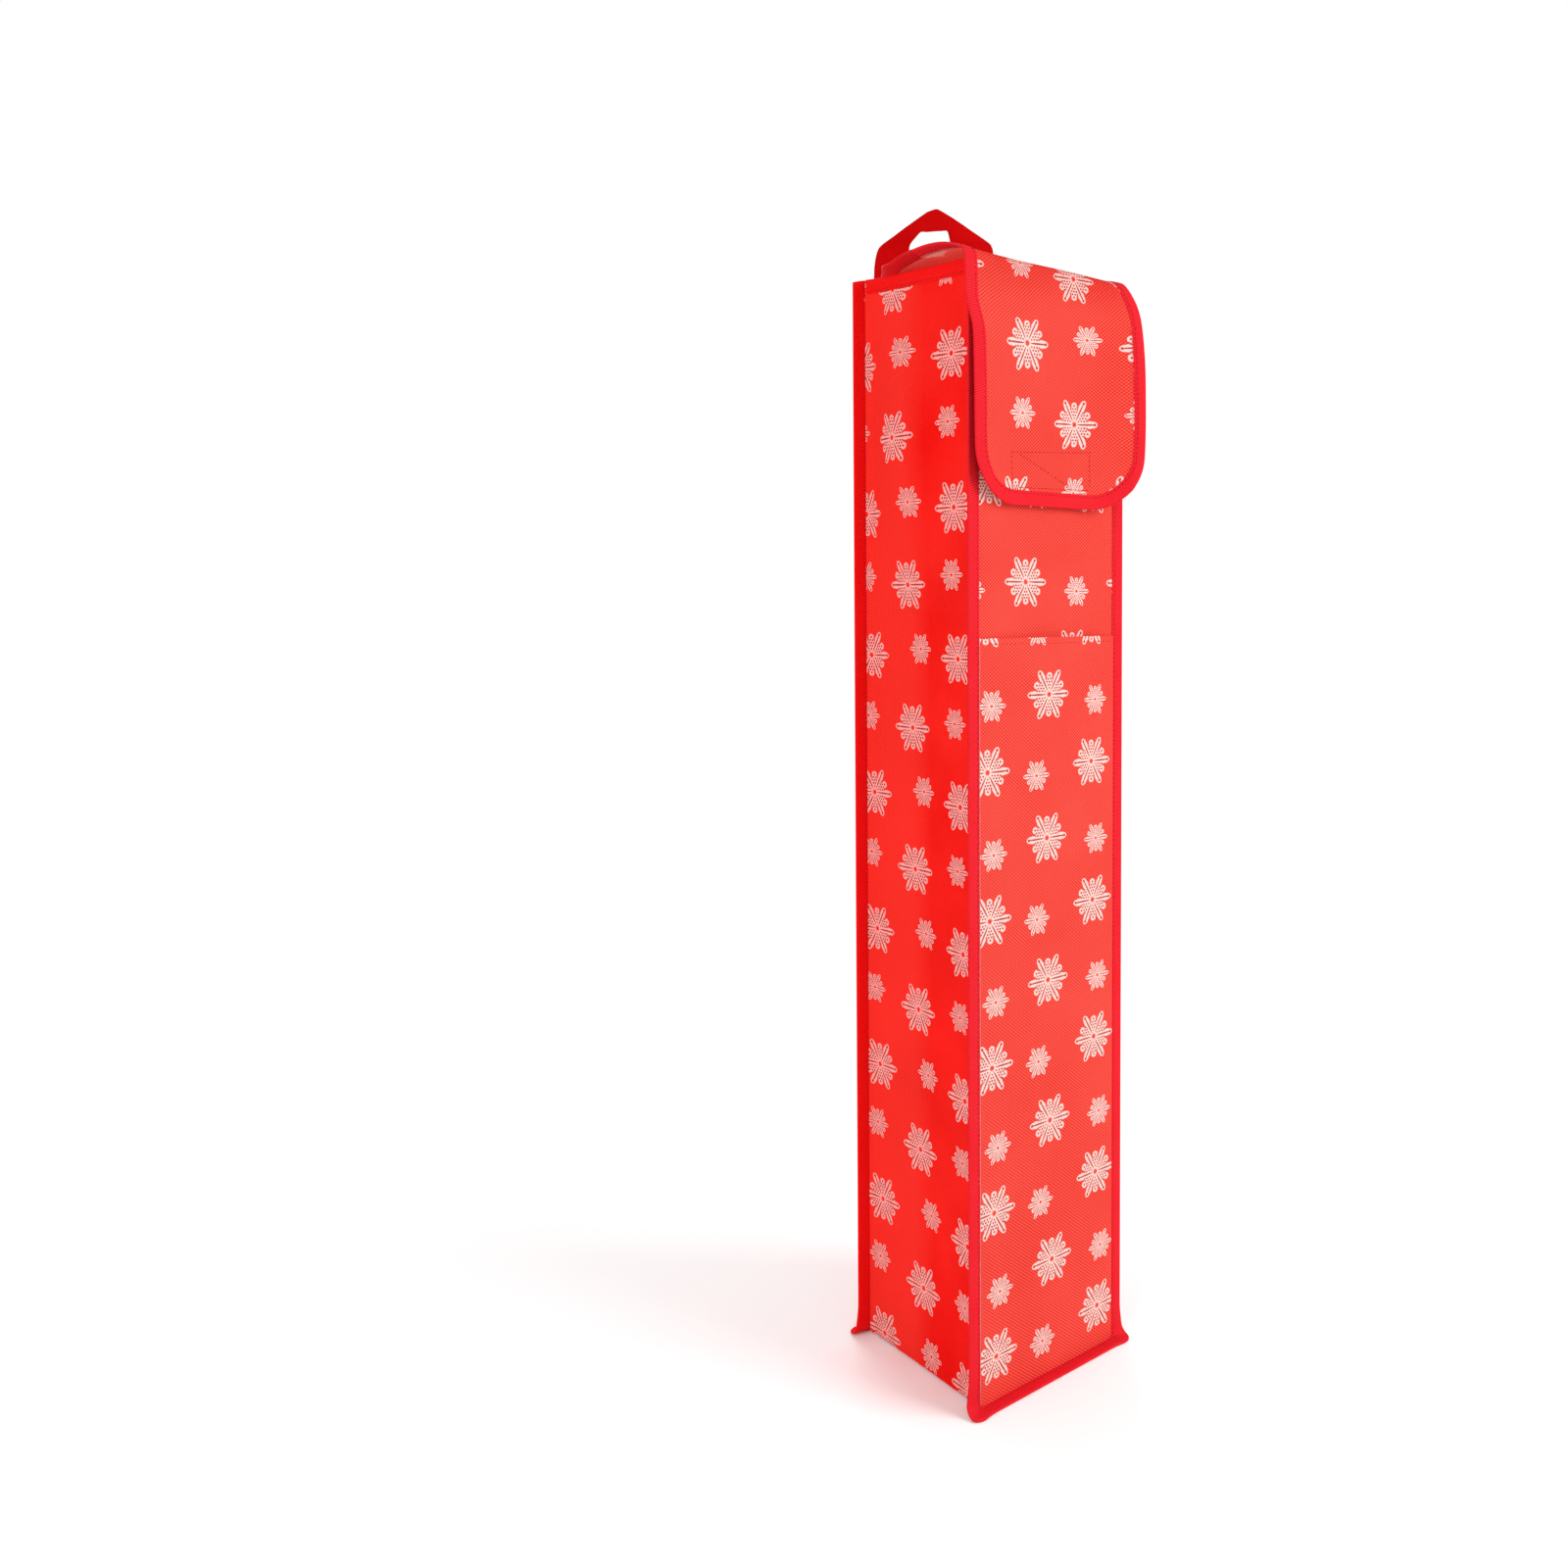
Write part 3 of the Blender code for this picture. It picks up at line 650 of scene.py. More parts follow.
def flake_group():
    """The print, at a place in metres: its pale ink, and the dark lines and dots left in it."""
    group = bpy.data.node_groups.new("snowflake_print", "ShaderNodeTree")
    group.interface.new_socket("Place", in_out="INPUT", socket_type="NodeSocketVector")
    group.interface.new_socket("Ink", in_out="OUTPUT", socket_type="NodeSocketFloat")
    group.interface.new_socket("Line", in_out="OUTPUT", socket_type="NodeSocketFloat")
    start = group.nodes.new("NodeGroupInput")
    end = group.nodes.new("NodeGroupOutput")
    half = (CELL[0] / 2, CELL[1] / 2, 1.0)
    nearest = None
    for (x, y), radius in FLAKES:
        gap = vectors(group, "SUBTRACT", start.outputs[0], (x, y, 0.0))
        gap = vectors(group, "WRAP", gap, half, tuple(-v for v in half))
        gap = vectors(group, "DIVIDE", gap, (radius, radius, 1.0))
        reach = vectors(group, "LENGTH", gap, output=1)
        if nearest is None:
            place, nearest = gap, reach
        else:
            closer = maths(group, "LESS_THAN", reach, nearest)
            place = mixed(group, closer, place, gap, "VECTOR")
            nearest = maths(group, "MINIMUM", reach, nearest)
    across, up = parts_of(group, place)
    angle = maths(group, "ARCTAN2", up, across)
    angle = maths(group, "ABSOLUTE", maths(group, "WRAP", angle, HALF_ARM, -HALF_ARM))

    # Places along an arm and off it, and along the gap between two arms and off that
    x = maths(group, "MULTIPLY", nearest, maths(group, "COSINE", angle))
    y = maths(group, "MULTIPLY", nearest, maths(group, "SINE", angle))
    turned = maths(group, "SUBTRACT", angle, HALF_ARM)
    p = maths(group, "MULTIPLY", nearest, maths(group, "COSINE", turned))
    q = maths(group, "ABSOLUTE", maths(group, "MULTIPLY", nearest, maths(group, "SINE", turned)))

    def oval(u, v, centre_u, centre_v, reach_u, reach_v, crispness=4.0, turn=0.0):
        """An oval, placed and sized in shares of the flake's radius."""
        a = maths(group, "SUBTRACT", u, centre_u)
        b = maths(group, "SUBTRACT", v, centre_v)
        if turn:
            c, s = math.cos(turn), math.sin(turn)
            a, b = (maths(group, "ADD", maths(group, "MULTIPLY", a, c), maths(group, "MULTIPLY", b, s)),
                    maths(group, "SUBTRACT", maths(group, "MULTIPLY", b, c), maths(group, "MULTIPLY", a, s)))
        a = maths(group, "DIVIDE", a, reach_u)
        b = maths(group, "DIVIDE", b, reach_v)
        square = maths(group, "ADD", maths(group, "MULTIPLY", a, a), maths(group, "MULTIPLY", b, b))
        return maths(group, "MULTIPLY", maths(group, "SUBTRACT", 1.0, square), crispness, clamp=True)

    def most(*values):
        found = values[0]
        for value in values[1:]:
            found = maths(group, "MAXIMUM", found, value)
        return found

    pale = most(
        oval(x, y, 0.775, 0.0, 0.225, 0.135),
        oval(x, y, 0.69, 0.0, 0.17, 0.15),
        oval(p, q, 0.65, 0.0, 0.15, 0.15, 6.0),
        oval(p, q, 0.55, 0.0, 0.17, 0.20),
        oval(nearest, 0.0, 0.34, 0.0, 0.27, 1.0, 3.0))
    line = most(
        oval(x, y, 0.52, 0.0, 0.42, 0.036, 3.0),
        oval(x, y, 0.88, 0.0, 0.060, 0.056),
        oval(x, y, 0.60, 0.17, 0.12, 0.032, 4.0, math.radians(38)),
        oval(p, q, 0.235, 0.0, 0.042, 0.036),
        oval(p, q, 0.345, 0.052, 0.042, 0.040),
        oval(p, q, 0.455, 0.0, 0.044, 0.044),
        oval(p, q, 0.455, 0.115, 0.044, 0.044),
        oval(p, q, 0.560, 0.065, 0.042, 0.044),
        oval(p, q, 0.675, 0.0, 0.046, 0.042),
        oval(nearest, 0.0, 0.0, 0.0, 0.10, 1.0))
    dim = most(
        oval(x, y, 0.78, 0.0, 0.15, 0.062, 2.0),
        oval(p, q, 0.64, 0.0, 0.085, 0.070, 2.0))
    ink = maths(group, "MULTIPLY", pale, maths(group, "MULTIPLY_ADD", dim, -0.14, 1.0))
    group.links.new(ink, end.inputs[0])
    group.links.new(maths(group, "MULTIPLY", line, pale), end.inputs[1])
    return group


# The pitch of the pressed dots, and how deep each kind of surface is
WEAVE_PITCH = (0.0034, 0.0028)
WEAVE_RELIEF = 0.0003
PILE_RELIEF = 0.0006
THREAD_RELIEF = 0.0001
FLAKE_GROUP = flake_group()


def weave_of(tree, place):
    """The staggered dots pressed into the cloth, from 0 to 1."""
    u, v = parts_of(tree, place)
    u, v = phase_of(tree, u, WEAVE_PITCH[0]), phase_of(tree, v, WEAVE_PITCH[1])
    a = maths(tree, "SINE", maths(tree, "ADD", u, v))
    b = maths(tree, "SINE", maths(tree, "SUBTRACT", u, v))
    return maths(tree, "MULTIPLY_ADD", maths(tree, "ADD", a, b), 0.25, 0.5)


# Where the light comes through from above: runs where it starts to and where it stops, each
# with the length of its ramp
MOUTH_LIGHT_START, MOUTH_LIGHT_RISE = -0.032, 0.04
MOUTH_LIGHT_END, MOUTH_LIGHT_FALL = 0.190, 0.06


def over_mouth(tree, place):
    """From 0 to 1 where the long cloth spans the mouth, and light comes through from above."""
    along = parts_of(tree, place)[1]
    start = maths(tree, "MULTIPLY_ADD", along, 1 / MOUTH_LIGHT_RISE,
                  -MOUTH_LIGHT_START / MOUTH_LIGHT_RISE, clamp=True)
    end = maths(tree, "MULTIPLY_ADD", along, -1 / MOUTH_LIGHT_FALL,
                MOUTH_LIGHT_END / MOUTH_LIGHT_FALL, clamp=True)
    return maths(tree, "MULTIPLY", start, end)


def print_place(tree, place):
    """Where the print is read, shaken a little so that its edges are not quite clean."""
    print_map = tree.nodes.new("ShaderNodeUVMap")
    print_map.uv_map = PRINT_MAP
    wobble = tree.nodes.new("ShaderNodeTexNoise")
    wobble.inputs["Scale"].default_value = 900
    tree.links.new(place, wobble.inputs["Vector"])
    shift = vectors(tree, "SUBTRACT", wobble.outputs["Color"], (0.5, 0.5, 0.5))
    shift = vectors(tree, "SCALE", shift, scale=0.0005)
    return vectors(tree, "ADD", print_map.outputs[0], shift)


def printed_cloth(name, red, ink_colour, line_colour, haze, dots, patches_and_painted_rear_light, specular, cover=False):
    """The outer face of the cloth: red, with the pale print and the pressed dots."""
    material, tree, shader, coordinates = new_material(name, 0.75, specular)
    place = coordinates.outputs["UV"]
    group = tree.nodes.new("ShaderNodeGroup")
    group.node_tree = FLAKE_GROUP
    tree.links.new(print_place(tree, place), group.inputs[0])
    weave = weave_of(tree, place)
    slow = noise_of(tree, coordinates.outputs["Object"], 11, 3)
    grain = noise_of(tree, place, 2600, 2)

    # Broad patches, then on the sides painted light: the rear half painted lighter, with clearer dots
    broad = maths(tree, "MULTIPLY_ADD", maths(tree, "SUBTRACT", slow, 0.5), 2.2, 0.5, clamp=True)
    base = mixed(tree, broad, shade(red, 0.86), hazed(red, haze, 1))
    clearness = dots
    if patches_and_painted_rear_light:
        depth = parts_of(tree, coordinates.outputs["Object"])[1]
        # Painted light: the rear half of a side is painted lighter
        rear = maths(tree, "MULTIPLY_ADD", depth, 40.0, 0.4, clamp=True)
        base = mixed(tree, maths(tree, "MULTIPLY", rear, 0.7), base, hazed(red, haze, 2.5))
        patch = maths(tree, "SUBTRACT", noise_of(tree, coordinates.outputs["Object"], 9, 2), 0.5)
        patch = maths(tree, "ADD", patch, maths(tree, "MULTIPLY", rear, 0.2))
        clearness = maths(tree, "MULTIPLY", maths(tree, "ADD", patch, 0.1, clamp=True), dots * 4, clamp=True)

    # Painted shade in the pressed dots' dips, and a painted highlight on the rises between them
    dip = maths(tree, "MULTIPLY", maths(tree, "MULTIPLY_ADD", weave, 2.0, -1.0, clamp=True), clearness)
    rise = maths(tree, "MULTIPLY", maths(tree, "MULTIPLY_ADD", weave, -2.0, 1.0, clamp=True), clearness)
    base = mixed(tree, dip, base, shade(red, 0.45))
    base = mixed(tree, rise, base, hazed(red, haze, 3.2))
    base = mixed(tree, maths(tree, "MULTIPLY", grain, 0.15), base, hazed(red, haze, 1))

    # The ink, worn thin in places
    worn = maths(tree, "MULTIPLY_ADD", maths(tree, "SUBTRACT", grain, 0.45), 0.9, 0.92, clamp=True)
    covered = maths(tree, "MULTIPLY", group.outputs[0], worn)
    covered = maths(tree, "MULTIPLY", covered, maths(tree, "MULTIPLY_ADD", weave, -0.12, 1.0))
    colour = mixed(tree, covered, base, shade(ink_colour))
    colour = mixed(tree, maths(tree, "MULTIPLY", group.outputs[1], 0.9), colour, shade(line_colour))
    tree.links.new(colour, shader.inputs["Base Color"])
    height = maths(tree, "ADD", maths(tree, "MULTIPLY", weave, -0.8), maths(tree, "MULTIPLY", grain, 0.35))
    normal = bumped(tree, shader, height, WEAVE_RELIEF, 0.5)
    share = maths(tree, "MULTIPLY_ADD", over_mouth(tree, place), 0.5, 0.2) if cover else 0.2
    lit_through(tree, shader, colour, normal, share)
    return material


def inner_cloth(name, glowing=False):
    """The inner face: off-white; over the mouth more light comes through, and a painted glow tints it coral.
    """
    material, tree, shader, coordinates = new_material(name, 0.85, 0.2)
    place = coordinates.outputs["UV"]
    weave = weave_of(tree, place)
    blotch = noise_of(tree, place, 26, 3)
    grain = noise_of(tree, place, 2200, 2)
    blotch = maths(tree, "MULTIPLY_ADD", maths(tree, "SUBTRACT", blotch, 0.5), 2.0, 0.35, clamp=True)
    base = mixed(tree, blotch, (0.93, 0.79, 0.78, 1), (0.90, 0.64, 0.64, 1))
    # Painted shade in the pressed dots' dips
    base = mixed(tree, maths(tree, "MULTIPLY", weave, 0.45), base, (0.84, 0.55, 0.56, 1))
    colour = mixed(tree, maths(tree, "MULTIPLY", grain, 0.2), base, (0.97, 0.88, 0.87, 1))
    share = 0.4
    if glowing:
        share = maths(tree, "MULTIPLY_ADD", over_mouth(tree, place), 0.35, 0.4)
        # Painted glow: a coral tint where the cloth spans the mouth
        painted_glow = maths(tree, "MULTIPLY", over_mouth(tree, place), 0.75)
        colour = mixed(tree, painted_glow, colour, (1.0, 0.20, 0.16, 1))
    tree.links.new(colour, shader.inputs["Base Color"])
    height = maths(tree, "ADD", maths(tree, "MULTIPLY", weave, -0.8), maths(tree, "MULTIPLY", grain, 0.4))
    normal = bumped(tree, shader, height, WEAVE_RELIEF, 0.5)
    lit_through(tree, shader, (1.0, 0.7, 0.64, 1), normal, share)
    return material


RIB_PITCH = 0.0019
RIB_SLANT = 3


def ribbed_tape(name, red, light):
    """Woven tape, with ribs that run a little askew across its length."""
    material, tree, shader, coordinates = new_material(name, 0.75, 0.06)
    place = coordinates.outputs["UV"]
    run, across = parts_of(tree, place)
    fuzz = noise_of(tree, place, 1500, 2)
    slow = noise_of(tree, coordinates.outputs["Object"], 30, 2)
    slant = maths(tree, "MULTIPLY_ADD", across, math.pi * 2 / (RIB_PITCH * RIB_SLANT),
                  maths(tree, "MULTIPLY", fuzz, 0.9))
    rib = ribs_of(tree, maths(tree, "ADD", slant, phase_of(tree, run, RIB_PITCH)))
    base = mixed(tree, slow, shade(red), shade(light))
    # Painted shade in the grooves between the ribs
    base = mixed(tree, maths(tree, "MULTIPLY_ADD", rib, -0.8, 0.8), base, shade(red, 0.5))
    tree.links.new(base, shader.inputs["Base Color"])
    height = maths(tree, "ADD", rib, maths(tree, "MULTIPLY", fuzz, 0.4))
    bumped(tree, shader, height, WEAVE_RELIEF, 0.6)
    return material


def thread_finish(name, red):
    """Sewing thread, a little darker than what it holds."""
    material, tree, shader, coordinates = new_material(name, 0.6, 0.1)
    twist = noise_of(tree, coordinates.outputs["Object"], 3000, 1)
    tree.links.new(mixed(tree, twist, shade(red), shade(red, 0.6)), shader.inputs["Base Color"])
    bumped(tree, shader, twist, THREAD_RELIEF, 0.4)
    return material


HOOK_PITCH = (0.0016, 0.0013)


def pile_finish(name, red, fine):
    """A fastening strip: rows of hooks, or a felted pile of loops."""
    material, tree, shader, coordinates = new_material(name, 0.9 if fine else 0.6, 0.15)
    place = coordinates.outputs["UV"]
    if fine:
        fuzz = noise_of(tree, place, 1400, 4, 0.7)
        lumps = noise_of(tree, place, 500, 3, 0.6)
        shader.inputs["Sheen Weight"].default_value = 0.1
    else:
        fuzz = noise_of(tree, place, 2200, 4, 0.7)
        u, v = parts_of(tree, place)
        lumps = maths(tree, "MULTIPLY", ribs_of(tree, phase_of(tree, u, HOOK_PITCH[0])),
                      ribs_of(tree, phase_of(tree, v, HOOK_PITCH[1])))
    height = maths(tree, "ADD", lumps, maths(tree, "MULTIPLY", fuzz, 0.5))
    # Painted shade: darker down in the pile, full red on its tops
    colour = mixed(tree, maths(tree, "MULTIPLY", height, 0.75, clamp=True), shade(red, 0.5), shade(red))
    tree.links.new(colour, shader.inputs["Base Color"])
    bumped(tree, shader, height, PILE_RELIEF, 0.8)
    return material


TWILL_PITCH = (0.0019, 0.0024)


def webbing_finish(name, red):
    """The handle's webbing: a fine twill along the strap."""
    material, tree, shader, coordinates = new_material(name, 0.7, 0.02)
    place = coordinates.outputs["UV"]
    u, v = parts_of(tree, place)
    ribs = ribs_of(tree, maths(tree, "ADD", phase_of(tree, u, TWILL_PITCH[0]),
                               phase_of(tree, v, TWILL_PITCH[1])))
    fuzz = noise_of(tree, place, 1800, 2)
    slow = noise_of(tree, coordinates.outputs["Object"], 25, 2)
    base = mixed(tree, slow, shade(red, 0.86), shade(red))
    base = mixed(tree, maths(tree, "MULTIPLY", ribs, 0.35), base, shade(red, 0.66))
    tree.links.new(base, shader.inputs["Base Color"])
    height = maths(tree, "ADD", ribs, maths(tree, "MULTIPLY", fuzz, 0.5))
    bumped(tree, shader, height, WEAVE_RELIEF, 0.5)
    return material


# A printed cloth's red, ink, lines and haze, how clear its dots are, whether it has patches and a rear half
# painted lighter, its shine
# The front, back and flap cloth is the sides' cloth with a painted sheen: its red, ink and haze paler and
# more coral
FRONT_LOOK_WITH_PAINTED_SHEEN = ((0.92, 0.036, 0.024), (1.0, 0.68, 0.61), (0.38, 0.010, 0.018), (0.03, 0.030, 0.024),
              1.0, False, 0.08)
SIDE_LOOK = ((0.95, 0.004, 0.003), (0.98, 0.44, 0.40), (0.45, 0.004, 0.012), (0.03, 0.014, 0.010),
             0.45, True, 0.02)
FRONT_PRINT = printed_cloth("front_print", *FRONT_LOOK_WITH_PAINTED_SHEEN)
LONG_PRINT = printed_cloth("back_and_flap_print", *FRONT_LOOK_WITH_PAINTED_SHEEN, cover=True)
SIDE_PRINT = printed_cloth("side_print", *SIDE_LOOK)
INNER = inner_cloth("inner_face")
COVER_INNER = inner_cloth("cover_inner_face", glowing=True)
TAPE_RED = ribbed_tape("binding_tape", (0.78, 0.009, 0.018), (0.85, 0.022, 0.034))
SEAM_RED = ribbed_tape("rear_binding_tape", (0.94, 0.003, 0.003), (0.96, 0.010, 0.010))
# The cover's edge tapes: the tape's red darkened as painted shade
COVER_SHADED_RED = ribbed_tape("cover_binding_tape_painted_shade", (0.66, 0.005, 0.008), (0.74, 0.014, 0.020))
HOOK_RED = pile_finish("hook_pile", (0.80, 0.008, 0.012), False)
LOOP_RED = pile_finish("loop_pile", (0.90, 0.008, 0.030), True)
WEBBING_RED = webbing_finish("handle_webbing", (0.52, 0.0006, 0.0010))
THREAD_RED = thread_finish("sewing_thread", (0.42, 0.004, 0.010))


def flat(a, b):
    """The weave lies square to a cloth's own edges."""
    return a, b


# The print's places: on each cloth the middle of one large flake, and how the print leans
# off square, stretches or steps from there
POCKET_FLAKE = (-0.0055, 0.5655)
POCKET_LEAN, POCKET_LEAN_FROM = 0.0186, 0.565


def pocket_print(x, z):
    """On the pocket the print leans a little off square."""
    return x - POCKET_FLAKE[0] - POCKET_LEAN * (POCKET_LEAN_FROM - z), z - POCKET_FLAKE[1]


PANEL_FLAKE = (-0.0244, 0.6557)
PANEL_STEP = (0.0235, 0.0195)
PANEL_STEP_HEIGHT = (0.680, 0.706)


def panel_print(x, z):
    """On the panel behind the pocket the print starts elsewhere, and steps across a plain row."""
    step = ramp(z, *PANEL_STEP_HEIGHT)
    return x - PANEL_FLAKE[0] - PANEL_STEP[0] * step, z - PANEL_FLAKE[1] - PANEL_STEP[1] * step


FLAP_FLAKE = (0.024, 0.2800)
FLAP_LEAN, FLAP_LEAN_FROM, FLAP_LEAN_RUN = 0.05, 0.0238, (0.0, 0.15)
FLAP_END_STEP, FLAP_END_RUN = (0.013, 0.004), (0.290, 0.335)
UPPER_SHIFT, UPPER_RUN, UPPER_REACH = 0.0032, 0.214, 0.024
PLAIN_EDGE, PLAIN_RUN = -0.0625, (0.168, 0.178)


def long_print(x, s):
    """On the back and the flap the print is upside down; the flap's left edge is plain."""
    end = ramp(s, *FLAP_END_RUN)
    upper = UPPER_SHIFT * math.exp(-((s - UPPER_RUN) / UPPER_REACH) ** 2)
    x += max(PLAIN_EDGE - x, 0) * ramp(s, *PLAIN_RUN)
    lean = FLAP_LEAN * (x - FLAP_LEAN_FROM) * ramp(s, *FLAP_LEAN_RUN)
    return (FLAP_FLAKE[0] - FLAP_END_STEP[0] * end - x,
            s - FLAP_FLAKE[1] + lean - FLAP_END_STEP[1] * end + upper)


SIDE_FLAKE = (0.0065, 0.536)
SIDE_LEAN, SIDE_LEAN_FROM = 0.0241, 0.22
SLACK, SLACK_HEIGHT = 0.010, (0.66, 0.78)
TOP_SLACK, TOP_SLACK_HEIGHT = 0.003, (0.80, 0.88)
SLACK_PLACE, SLACK_REACH = 0.036, 0.037
SIDE_STRETCH, SIDE_STRETCH_HEIGHT = 0.005, (0.60, 0.85)
TOP_SHRINK, TOP_SHRINK_HEIGHT = 0.0033, (0.75, 0.90)


def side_print(y, z):
    """On the sides it is upside down too, and leans off square more towards the mouth."""
    slack = (SLACK + TOP_SLACK * ramp(z, *TOP_SLACK_HEIGHT)) * ramp(z, *SLACK_HEIGHT)
    slack *= math.exp(-((y - SLACK_PLACE) / SLACK_REACH) ** 2)
    stretch = SIDE_STRETCH * ramp(z, *SIDE_STRETCH_HEIGHT) - TOP_SHRINK * ramp(z, *TOP_SHRINK_HEIGHT)
    return y - slack - SIDE_FLAKE[0] - SIDE_LEAN * (z - SIDE_LEAN_FROM), SIDE_FLAKE[1] + stretch - z


def flap_end_at(x, inset):
    """How far the flap's cloth reaches at x, inside its rounded corners."""
    corner = FLAP_CORNER - inset
    past = abs(x) - (FLAP_HALF - inset - corner)
    if past <= 0:
        return FLAP_LENGTH - inset
    return FLAP_LENGTH - inset - corner + math.sqrt(max(corner ** 2 - past ** 2, 0))


# How far a cloth reaches in under its tape, and how far its lowest row is off the floor
CLOTH_TUCK = 0.002
CLOTH_HALF = HALF_WIDTH + CLOTH_TUCK
CLOTH_INSET = TAPE_WIDTH - CLOTH_TUCK
LOWEST_ROW = 0.0005


def make_front():
    """The front panel."""
    columns = stops(-HALF_WIDTH, HALF_WIDTH, CLOTH_STEP)
    cloth = sheet("front_cloth", columns, stops(LOWEST_ROW, MOUTH, CLOTH_STEP), front_cloth, flat,
                  Vector((0, -1, 0)), [FRONT_PRINT, INNER], print_uv=panel_print)
    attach(cloth, "bag")
    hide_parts("front_panel")
    return cloth


def make_back():
    """The back panel and the first half of the cover, one cloth across the fold."""
    columns = stops(-CLOTH_HALF, CLOTH_HALF, CLOTH_STEP)
    rows = (stops(LOWEST_ROW - BACK_START, -BACK_EASE, CLOTH_STEP)[:-1]
            + stops(-BACK_EASE, SPLIT, FOLD_STEP))
    cloth = sheet("back_cloth", columns, rows, long_cloth, flat, Vector((0, 1, 0)),
                  [LONG_PRINT, COVER_INNER], print_uv=long_print)
    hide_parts("back_panel")
    return cloth


# The flap's columns stand closer towards its edges; both steps are shares of the flap
FLAP_COLUMN_SHARE = 0.045
FLAP_ROW_SHARE = 0.008


def make_flap():
    """The second half of the cover and the hanging flap, down to its rounded end."""
    columns = [math.sin(math.pi / 2 * share) for share in stops(-1, 1, FLAP_COLUMN_SHARE)]

    def spot(column, row):
        x = column * CLOTH_HALF
        return x, SPLIT + (flap_end_at(x, CLOTH_INSET) - SPLIT) * row

    cloth = sheet("flap_cloth", columns, stops(0, 1, FLAP_ROW_SHARE),
                  lambda column, row: long_cloth(*spot(column, row)), spot,
                  Vector((0, 0, 1)), [LONG_PRINT, COVER_INNER],
                  print_uv=lambda column, row: long_print(*spot(column, row)))
    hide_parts("flap_cover", "flap_front")
    return cloth


# One strip is both sides and the bottom: runs down the left side, across and up the right one
STRIP_BEND = 0.003
STRIP_LIFT = 0.0004
STRIP_FALL = MOUTH - STRIP_BEND
STRIP_TURN = STRIP_BEND * math.pi / 2
STRIP_BASE = 2 * (SIDE_FACE - STRIP_BEND)
STRIP_LENGTH = 2 * STRIP_FALL + 2 * STRIP_TURN + STRIP_BASE
STRIP_HALF = HALF_DEPTH - 0.0012
SIDE_STEP, BEND_STEP, BASE_STEP = 0.0035, 0.0012, 0.006

# Its ends follow the mouth's edge, a little below the tape's fold
MOUTH_SINK = 0.0015
MOUTH_RISE_HEIGHT = (0.75, 0.90)


def strip_place(y, run):
    """The strip of cloth that is both sides and the bottom."""
    side = -1
    if run > STRIP_LENGTH / 2:
        side, run = 1, STRIP_LENGTH - run
    if run <= STRIP_FALL:
        z = MOUTH - run
        lift = (mouth_top(side, y) - MOUTH_SINK - MOUTH) * ramp(z, *MOUTH_RISE_HEIGHT)
        return side_cloth(side, y, z) + Vector((0, 0, lift))
    foot = side_cloth(side, y, STRIP_BEND).x
    if run <= STRIP_FALL + STRIP_TURN:
        angle = (run - STRIP_FALL) / STRIP_BEND
        return Vector((foot - side * STRIP_BEND * (1 - math.cos(angle)), y,
                       STRIP_BEND - STRIP_BEND * math.sin(angle) + STRIP_LIFT))
    share = (run - STRIP_FALL - STRIP_TURN) / (STRIP_BASE / 2)
    return Vector(((foot - side * STRIP_BEND) * (1 - share), y, STRIP_LIFT))


def make_sides():
    """Both side panels and the bottom, as one strip."""
    columns = stops(-STRIP_HALF, 0, SIDE_STEP)[:-1] + stops(0, STRIP_HALF, SIDE_STEP)
    rows = [0.0]
    for length, step in ((STRIP_FALL, CLOTH_STEP), (STRIP_TURN, BEND_STEP), (STRIP_BASE, BASE_STEP),
                         (STRIP_TURN, BEND_STEP), (STRIP_FALL, CLOTH_STEP)):
        rows += stops(rows[-1], rows[-1] + length, step)[1:]
    cloth = sheet("side_and_bottom_cloth", columns, rows, strip_place, flat, Vector((-1, 0, 0)),
                  [SIDE_PRINT, INNER], print_uv=lambda y, run: side_print(y, MOUTH - run))
    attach(cloth, "bag")
    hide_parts("left_side_panel", "right_side_panel", "bottom_panel")
    return cloth


# The pocket stands off the panel, gapes at its mouth and has a hem folded back inside it
POCKET_STAND = 0.0010
POCKET_GAPE = 0.0070
GAPE_DEPTH = 0.180
HEM = 0.0055
HEM_FOLD = 0.0006
HEM_TURNS = 8
POCKET_TOP = POCKET_MOUTH - HEM_FOLD
HEM_ROW_HALF = HALF_WIDTH - 0.003
HEM_ROW_INSET = 0.0048
HEM_ROW_LIFT = -0.0001

# Its packing crease rises to the right, and is sharper on its lower side
POCKET_CREASE = 0.0017
CREASE_HEIGHT, CREASE_SLOPE = 0.3705, 0.02
CREASE_ABOVE, CREASE_BELOW = 0.010, 0.004


def pocket_crease(x, z):
    """How far the crease stands out."""
    off = z - (CREASE_HEIGHT + CREASE_SLOPE * x)
    return POCKET_CREASE * math.exp(-off / CREASE_ABOVE if off > 0 else off / CREASE_BELOW)


def pocket_place(x, s):
    """The pocket's cloth, and past its mouth the hem that is folded back inside it."""
    z = min(s, POCKET_TOP)
    within = near_middle(x)
    gape = POCKET_GAPE * within ** 2 * ramp(z, POCKET_MOUTH - GAPE_DEPTH, POCKET_MOUTH)
    wander = drift(x, POCKET_LEVEL, z, *POCKET_WAVES)
    y = -HALF_DEPTH - POCKET_STAND - gape + (wander - pocket_crease(x, z)) * within
    past = s - z
    if past > 0:
        angle = min(past / HEM_FOLD, math.pi)
        y += HEM_FOLD * (1 - math.cos(angle))
        z += HEM_FOLD * math.sin(angle) - max(0.0, past - math.pi * HEM_FOLD)
    return Vector((x, y, z))


